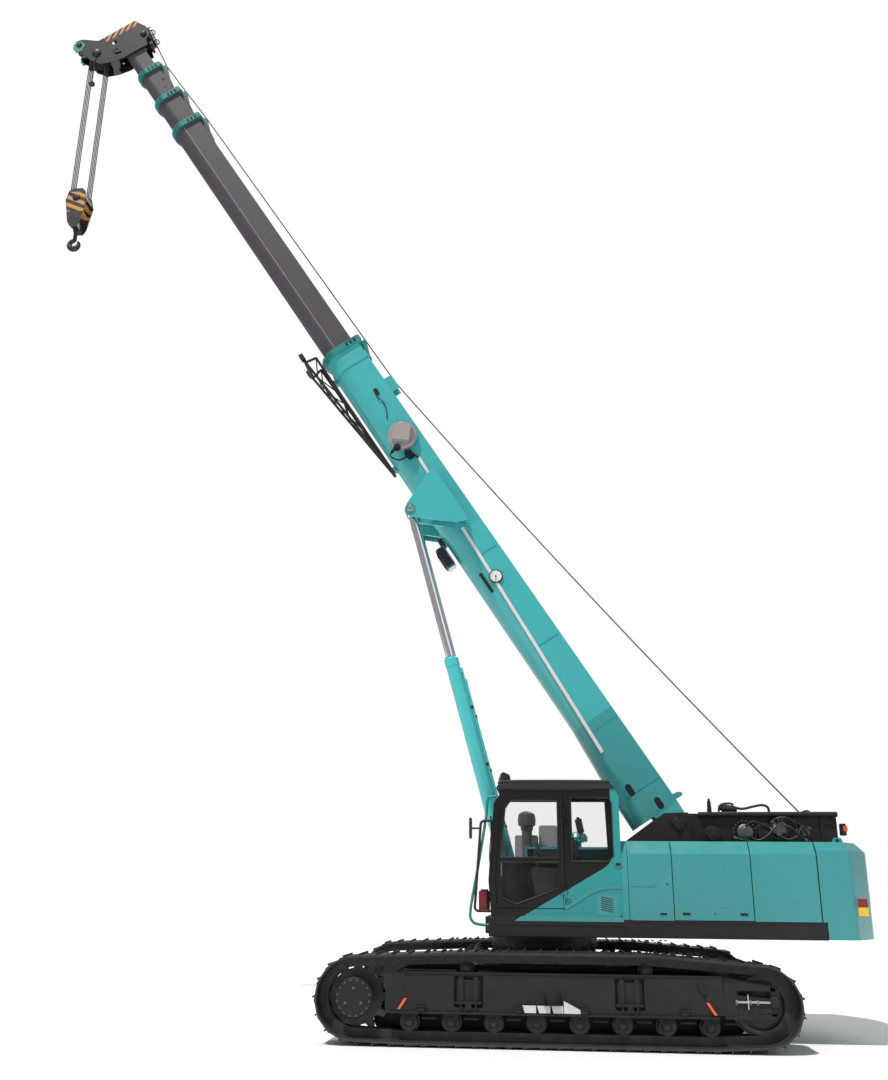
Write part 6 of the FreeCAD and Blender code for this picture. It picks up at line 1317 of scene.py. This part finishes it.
def dress_reel_and_dial():
    """The reel's square-cornered cover and connector, and the pointer dial with plain ticks."""
    reel = Pieces(BOOM)
    s, q = 6.86, -0.08
    face = BASE_HALF + 0.0303
    lean = math.radians(-50)
    outline = [
        (s + a * math.cos(lean) - b * math.sin(lean), q + a * math.sin(lean) + b * math.cos(lean))
        for a, b in rounded((-0.15, -0.135), (0.15, 0.165), 0.045)
    ]
    reel.plate(outline, (face + 0.085, face + 0.175), 0.018)
    for (a, b), (c, d) in zip(circle(0.165, 28), circle(0.205, 28)):
        reel.rod((s + a, face + 0.08, q + b), (s + c, face + 0.088, q + d), 0.007, 8, 0.002)
    reel.done("reel_cover", REEL_PAINT, "boom_base", "reel_grey")
    plug = Pieces(BOOM)
    plug.box((s - 0.185, s - 0.105), (face + 0.04, face + 0.15), (q - 0.215, q - 0.125), 0.012)
    plug.rod((s - 0.145, face + 0.1, q - 0.215), (s - 0.17, face + 0.1, q - 0.29), 0.026)
    plug.box((s - 0.385, s - 0.255), (BASE_HALF, BASE_HALF + 0.085), (q - 0.115, q - 0.015), 0.012)
    plug.pipe(
        [
            (s - 0.165, face + 0.1, q - 0.285), (s - 0.22, face + 0.09, q - 0.33),
            (s - 0.32, face + 0.05, q - 0.25), (s - 0.33, face + 0.03, q - 0.12)
        ],
        0.012, 10
    )
    plug.done("reel_connector", BLACK_PAINT, "boom_base", "cab_plastic")
    dial = Pieces(BOOM)
    s, q = 4.2, -0.11
    face = BASE_HALF + 0.0363
    dial.turned((s, face, q), Y, disc((0.084, 0), (0.084, 0.0015)), 48)
    dial.done("dial_face", DIAL_FACE, "boom_base", "cab_plastic")
    marks = Pieces(BOOM)
    for k, (a, b) in enumerate(circle(1, 19, 180, 10)):
        inner = 0.058 if k % 3 == 0 else 0.068
        start, stop = [(s + reach * a, face + 0.002, q + reach * b) for reach in (inner, 0.08)]
        marks.rod(start, stop, 0.0016, 6, 0.0003)
    marks.rod((s, face + 0.001, q), (s, face + 0.01, q), 0.012)
    down = BOOM.inverted().to_3x3() @ Vector((0, 0, -1))
    tip = Vector((s, face + 0.006, q)) + down * 0.078
    marks.rod((s, face + 0.006, q), tip, 0.0035, 8)
    marks.plate(oblong(4.03, -0.3, 4.37, -0.255), (BASE_HALF, BASE_HALF + 0.02), 0.004)
    marks.done("dial_marks", BLACK_PAINT, "boom_base", "cab_plastic")


def dress_collar(body, end, half, top, low, slot):
    """A collar's rim bolts, adjusting screws, and the top bracket with the gusset that guides the rope."""
    teal, dark, steel = Pieces(BOOM), Pieces(BOOM), Pieces(BOOM)
    rim = 0.036
    rear = end - COLLAR
    mid = rear + COLLAR / 2
    for y in (1, -1):
        for k in range(2):
            q = low + 0.05 + 0.085 * k
            inner = half * 0.72 + rim * 0.5 + 0.03 * k
            nut = half * 0.8 + rim * 0.6 + 0.03 * k
            outer = half * 0.72 + rim + 0.035 + 0.05 * k
            steel.rod((mid, y * inner, q), (mid, y * outer, q - 0.03), 0.012)
            profile = disc((0.026, 0), (0.026, 0.03), (0.02, 0.036))
            teal.turned((mid, y * nut, q - 0.012), (0, y, -0.5), profile, 6)
        for k in range(3):
            q = top - 0.03 - 0.07 * k
            pad = span(y, half + rim - 0.002, half + rim + 0.01)
            dark.box((rear + 0.022, rear + 0.088), pad, (q - 0.022, q + 0.01), 0.003)
            steel.bolt((mid, y * (half + rim + 0.009), q - 0.006), (0, y, 0), 0.009, 0.008)
        lid = (top + rim - 0.004, top + rim + 0.03)
        teal.box((rear + 0.01, rear + 0.1), span(y, 0.035, half + rim), lid, 0.006)
        dark.box((end - 0.012, end + 0.004), span(y, 0.05, half - 0.03), about(top, 0.02), 0.004)
    for y in (1, -1):
        teal.plate(
            [
                (end - 0.02, top + 0.01), (end - 0.005, top + 0.14), (end - 0.035, top + 0.15),
                (end - 0.33, top + 0.055), (end - 0.36, top + 0.01)
            ],
            span(y, 0.03, 0.042), 0.003
        )
    teal.rod((end - 0.03, -0.045, top + BRACKET_ROD), (end - 0.03, 0.045, top + BRACKET_ROD), 0.02)
    teal.rod((end - 0.345, -0.045, top + 0.04), (end - 0.345, 0.045, top + 0.04), 0.026)
    teal.done(body + "_collar_brackets", TEAL_DARK, body, slot)
    dark.done(body + "_collar_pads", BLACK_PAINT, body, "cab_plastic")
    steel.done(body + "_collar_bolts", BOLT_STEEL, body, slot)


def dress_sections():
    """Collars of every section, the fine weld line on each side, and the locking holes near the tip."""
    dress_collar("boom_base", BASE_END, BASE_HALF, BASE_TOP, BASE_LOW, "teal_paint")
    for body, part in SECTIONS.items():
        top = section_top(part)
        dress_collar(body, part["end"], part["half"], top, top - part["deep"], "boom_grey")
        if body == "section_2":
            seam = Pieces(BOOM)
            q = top - part["deep"] + part["half"] - 0.004
            for y in (1, -1):
                across = span(y, part["half"] * 0.998, part["half"] + 0.002)
                seam.box((8.84, part["end"] - COLLAR - 0.005), across, (q - 0.006, q + 0.002), 0.0005)
            seam.done(body + "_weld_lines", REEL_PAINT, body, "boom_grey")
    # The locking holes are black discs: their black is painted shade for the dark inside of each hole.
    holes = Pieces(BOOM)
    half = SECTIONS["section_4"]["half"]
    for s, q, radius in ((15.42, 0.03, 0.036), (15.24, -0.02, 0.02)):
        for y in (1, -1):
            holes.rod((s, y * (half - 0.004), q), (s, y * (half + 0.002), q), radius, 32, 0.0003)
    holes.done("section_lock_holes", BLACK_PAINT, "section_4", "cab_plastic")


def dress_head():
    """Rope keepers round the sheaves, hub plates, loops, pads and the teal cover of the small sheave."""
    dark, teal, steel = Pieces(BOOM), Pieces(BOOM), Pieces(BOOM)
    pin = boom_place(HEAD_PIN)
    guide = Vector((GUIDE_WHEEL[0], 0, GUIDE_WHEEL[1]))
    tip = Vector((17.06, 0, -0.9))
    for centre, radius, many, first in ((pin, 0.205, 1, 235), (guide, 0.155, 4, 20), (tip, 0.115, 1, 60)):
        for a, b in circle(radius, many, first, 40):
            spot = centre + Vector((a, 0, b))
            dark.rod(spot - Y * 0.15, spot + Y * 0.15, 0.011, 16)
    for y in (1, -1):
        face = y * 0.166
        for centre, radius in ((pin, 0.085), (guide, 0.06), (tip, 0.055)):
            near = Vector((centre.x, face, centre.z))
            dark.turned(
                near, (0, y, 0), [(0, 0), (radius, 0), (radius, 0.01), (radius * 0.6, 0.028), (0, 0.03)], 32
            )
            for a, b in circle(radius * 0.78, 4, 45):
                steel.bolt(near + Vector((a, y * 0.01, b)), (0, y, 0), 0.008, 0.007)
        loops = [
            [(16.5, 0.3), (16.47, 0.36), (16.51, 0.405), (16.58, 0.39), (16.6, 0.33)],
            [(16.62, 0.28), (16.68, 0.33), (16.66, 0.38)],
            [(17.09, -0.8), (17.13, -0.77), (17.13, -0.72), (17.08, -0.71)],
            [(16.82, -0.5), (16.88, -0.47), (16.9, -0.42)]
        ]
        for loop in loops:
            dark.pipe([(a, y * 0.115, b) for a, b in loop], 0.01, 10)
        shade_plate = [
            (16.905, -0.92), (16.945, -1.03), (17.06, -1.035), (17.135, -0.965), (17.145, -0.87),
            (17.09, -0.81), (16.99, -0.8)
        ]
        teal.plate(shade_plate, span(y, 0.15, 0.172), 0.006)
        across = span(y, 0.12, 0.168)
        dark.box((16.4, 16.47), across, (-0.5, -0.43), 0.012)
        dark.box((16.72, 16.8), across, (-0.98, -0.9), 0.012)
    for a, b in circle(0.105, 5, -20, 28):
        teal.box(about(tip.x + a, 0.02), (-0.11, 0.11), about(tip.z + b, 0.006), 0.003)
    dark.box((16.3, 16.34), (-0.1, 0.1), (0.188, 0.236), 0.008)
    dark.done("head_rope_keepers", BLACK_PAINT, "section_5", "dark_paint")
    teal.done("small_sheave_cover", TEAL_DARK, "section_5", "teal_paint")
    steel.done("head_bolts", BOLT_STEEL, "section_5", "dark_paint")


def dress_cylinders():
    """Glands with their bolts, pipe clamps and hoses of the two luffing cylinders."""
    rings, clamps = Pieces(CYLINDER), Pieces(CYLINDER)
    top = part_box("luffing_barrels")[1]
    reach = (Vector((top.x, 0, top.z)) - CYLINDER_FOOT).dot(CYLINDER_ALONG)
    end = min(reach, BARREL_LONG) - 0.004
    for y in (BARREL_ACROSS, -BARREL_ACROSS):
        rings.turned(
            (end - 0.02, y, 0), X, [(0.064, 0), (0.086, 0), (0.086, 0.034), (0.076, 0.04), (0.064, 0.04)], 48
        )
        for a, b in circle(0.077, 10):
            rings.bolt((end + 0.012, y + a, b), X, 0.007, 0.006)
        for s in (0.9, 1.7, 2.5):
            clamps.box(about(s, 0.02), about(y, 0.022), (0.09, 0.13), 0.004)
        clamps.pipe(
            [(0.22, y, 0.118), (0.1, y + 0.01, 0.17), (-0.06, y * 0.97, 0.2), (-0.16, y * 0.92, 0.1)],
            0.014, 12
        )
    rings.done("cylinder_glands", PANEL_PAINT_WITH_PAINTED_SHADE, "luffing_barrels", "teal_paint")
    clamps.done("cylinder_pipe_clamps", HOSE_RUBBER, "luffing_barrels", "cab_plastic")


# ---------------- ropes and hook block
HOLLOW = 0.74


def twisted(made, start, stop, radius, strands=6, lay=0.13, per_turn=10):
    """A laid wire rope between two points: a section with HOLLOW between its strands, turning as it goes."""
    start, stop = Vector(start), Vector(stop)
    way = (stop - start).normalized()
    across = way.orthogonal().normalized()
    beside = way.cross(across)
    long = (stop - start).length
    rings_many = max(2, int(long / lay * per_turn))
    sides = strands * 2
    body = bmesh.new()
    rings = []
    for i in range(rings_many + 1):
        t = i / rings_many
        turn = 2 * math.pi * t * long / lay
        ring = []
        for k in range(sides):
            angle = 2 * math.pi * k / sides + turn
            wide = radius * (1.0 if k % 2 == 0 else HOLLOW)
            ring.append(body.verts.new(
                start + way * long * t + wide * (across * math.cos(angle) + beside * math.sin(angle))
            ))
        rings.append(ring)
    wall(body, rings)
    made.take(body)


def dress_falls():
    """The eight falls between head and block."""
    low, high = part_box("hoist_falls")
    made = Pieces()
    step = 0.052
    reach = (high.x - low.x) / 2 - 0.008
    for side in (-1, 1):
        for k in range(4):
            x, y = HEAD_PIN.x + side * reach, step * (k - 1.5)
            twisted(made, (x, y, low.z), (x, y, high.z), 0.0105, per_turn=8)
    rope = made.done(
        "hoist_falls_rope", ROPE_STEEL, ("hoist_line", "hook_block", (0, 0, high.z), (0, 0, low.z)),
        "wire_rope", 70
    )
    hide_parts("hoist_falls")


def dress_hoist_rope():
    """The winch rope: drum, roller, guide on the base, a bracket on each section, and the head's wheel.
    """
    drum = Vector(JOINTS["main_winch_turn"]["pos_m"])
    roller = Vector((ROPE_ROLLER[0], 0, ROPE_ROLLER[1]))
    lead = [drum + Vector((-0.18, 0, -0.03)), Vector((-3.36, 0, 2.52)), Vector((-3.535, 0, 2.59))]
    for angle in (190, 160, 125, 95):
        lead += [roller + Vector((a, 0, b)) for a, b in circle(0.069, 1, angle)]
    start = roller + Vector((0.054, 0, 0.046))
    base_guide = BOOM @ Vector((7.83, 0, BASE_TOP + 0.11 + 0.047))
    hang = []
    many, sag, swing_share = 14, 0.4, 0.32
    for k in range(many + 1):
        t = k / many
        point = start.lerp(base_guide, t)
        point.z -= sag * t * (1 - t)
        hang.append(point)
    radius = 0.01
    wrap = Pieces()
    wrap.pipe(lead + [start], radius, 8)
    wrap.done("rope_lead", ROPE_STEEL, DECK, "wire_rope")
    first = Pieces()
    first.pipe(hang, radius, 8)
    swung = start.lerp(base_guide, swing_share)
    first.done("winch_rope", ROPE_STEEL, (DECK, "boom_base", start, swung), "wire_rope")
    stations = [("boom_base", base_guide)]
    for body, part in SECTIONS.items():
        over = section_top(part) + BRACKET_ROD + ROPE_OVER_ROD
        stations.append((body, BOOM @ Vector((part["end"] - 0.03, 0, over))))
    stations.append(("section_5", BOOM @ Vector((GUIDE_WHEEL[0] - 0.06, 0, GUIDE_WHEEL[1] + 0.12))))
    for number, ((body_a, a), (body_b, b)) in enumerate(zip(stations, stations[1:])):
        run = Pieces()
        run.pipe([a.lerp(b, k / 24) for k in range(25)], radius, 8, False)
        run.done("boom_rope_%d" % (number + 1), ROPE_STEEL, (body_a, body_b, a, b), "wire_rope")


def dress_block():
    """Cheek bolts, the axle's end plates, rope guards and the loop on top of the block."""
    low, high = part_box("hook_block")
    x = (low.x + high.x) / 2
    axle = high.z - 0.19
    cheek_bolts = [
        (-0.12, -0.085), (0.12, -0.085), (-0.145, -0.24), (0.145, -0.24), (-0.075, -0.6), (0.075, -0.6)
    ]
    steel, dark = Pieces(), Pieces()
    for y in (1, -1):
        face = y * 0.15
        dark.turned((x, face, axle), (0, y, 0), disc((0.066, 0), (0.066, 0.008), (0.045, 0.016)), 40)
        for a, b in circle(0.05, 3, 90):
            steel.bolt((x + a, face + y * 0.008, axle + b), (0, y, 0), 0.007, 0.006)
        for dx, dz in cheek_bolts:
            steel.bolt((x + dx, face, high.z + dz), (0, y, 0), 0.012, 0.01)
        dark.box(about(x, 0.06), span(y, 0.04, 0.128), (low.z + 0.008, low.z + 0.02), 0.004)
    for dx, dz in ((-0.125, -0.075), (0.125, -0.075), (-0.168, -0.235), (0.168, -0.235)):
        dark.rod((x + dx, -0.135, high.z + dz), (x + dx, 0.135, high.z + dz), 0.013)
    dark.pipe(
        [
            (x - 0.05, 0, high.z - 0.01), (x - 0.04, 0, high.z + 0.045), (x, 0, high.z + 0.068),
            (x + 0.04, 0, high.z + 0.045), (x + 0.05, 0, high.z - 0.01)
        ],
        0.014, 12
    )
    steel.done("block_bolts", BOLT_STEEL, "hook_block", "hook_steel")
    dark.done("block_guards", BLACK_PAINT, "hook_block", "hook_steel")


for side, body in ((1, "left_track_unit"), (-1, "right_track_unit")):
    dress_track(side, body)
    dress_shoes(side, body)
dress_carbody()
dress_panels()
dress_rear_and_right()
dress_winches()
dress_cab()
dress_cab_front()
dress_roof()
dress_inside()
dress_far_deck()
dress_boom_base()
dress_reel_and_dial()
dress_sections()
dress_head()
dress_cylinders()
dress_falls()
dress_hoist_rope()
dress_block()


# ---------------- floor, light and camera
def make_stage():
    """The pale floor, which belongs to the studio and not to the crane."""
    data = bpy.data.meshes.new("studio_floor")
    size = 160.0
    data.from_pydata(
        [(-size, -size, 0), (size, -size, 0), (size, size, 0), (-size, size, 0)], [], [(0, 1, 2, 3)]
    )
    floor = bpy.data.objects.new("studio_floor", data)
    bpy.context.scene.collection.objects.link(floor)
    finish = Finish("pale_floor")
    finish.rough(0.75, 0.9)
    data.materials.append(
        finish.colour(finish.mix(finish.noise(0.3), (0.9, 0.9, 0.9, 1), (0.93, 0.93, 0.93, 1)))
    )


def make_light():
    """A pale surround that is bright behind the object and softer on it, and three broad lights."""
    world = bpy.data.worlds.new("studio")
    bpy.context.scene.world = world
    world.use_nodes = True
    tree = world.node_tree
    back = tree.nodes["Background"]
    back.inputs["Color"].default_value = (0.97, 0.98, 1.0, 1)
    back.inputs["Strength"].default_value = 0.33
    seen = tree.nodes.new("ShaderNodeBackground")
    seen.inputs["Color"].default_value = (1.0, 1.0, 1.0, 1)
    seen.inputs["Strength"].default_value = 1.0
    path = tree.nodes.new("ShaderNodeLightPath")
    blend = tree.nodes.new("ShaderNodeMixShader")
    tree.links.new(path.outputs["Is Camera Ray"], blend.inputs[0])
    tree.links.new(back.outputs[0], blend.inputs[1])
    tree.links.new(seen.outputs[0], blend.inputs[2])
    tree.links.new(blend.outputs[0], tree.nodes["World Output"].inputs["Surface"])
    lamps = [
        ("key_light", (5, 8, 18), 3.1, 3.0, (1.0, 0.985, 0.96)),
        ("fill_light", (-16, 14, 9), 0.25, 40, (0.95, 0.98, 1.0)),
        ("rear_light", (-6, -18, 16), 0.8, 30, (1.0, 1.0, 1.0))
    ]
    for name, place, power, spread, colour in lamps:
        data = bpy.data.lights.new(name, "SUN")
        data.energy = power
        data.angle = math.radians(spread)
        data.color = colour
        lamp = bpy.data.objects.new(name, data)
        bpy.context.scene.collection.objects.link(lamp)
        lamp.location = place
        lamp.rotation_mode = "QUATERNION"
        lamp.rotation_quaternion = (-Vector(place)).to_track_quat("-Z", "Y")


def make_camera():
    """The camera stands on the cab side at eye height and looks up."""
    yaw, pitch, roll = 0.095, 0.324, 0.009
    data = bpy.data.cameras.new("camera")
    data.sensor_fit = "VERTICAL"
    data.sensor_height = 36.0
    data.lens = 34.71
    data.clip_end = 400
    camera = bpy.data.objects.new("camera", data)
    bpy.context.scene.collection.objects.link(camera)
    camera.location = (-0.03, 14.78, 1.685)
    ahead = Vector((math.sin(yaw) * math.cos(pitch), -math.cos(yaw) * math.cos(pitch), math.sin(pitch)))
    right = ahead.cross(Z).normalized()
    above = right.cross(ahead)
    right, above = (
        right * math.cos(roll) + above * math.sin(roll), above * math.cos(roll) - right * math.sin(roll)
    )
    turn = Matrix((right, above, -ahead)).transposed()
    camera.rotation_mode = "QUATERNION"
    camera.rotation_quaternion = turn.to_quaternion()
    bpy.context.scene.camera = camera


make_stage()
make_light()
make_camera()
bpy.context.scene.view_settings.view_transform = "Standard"
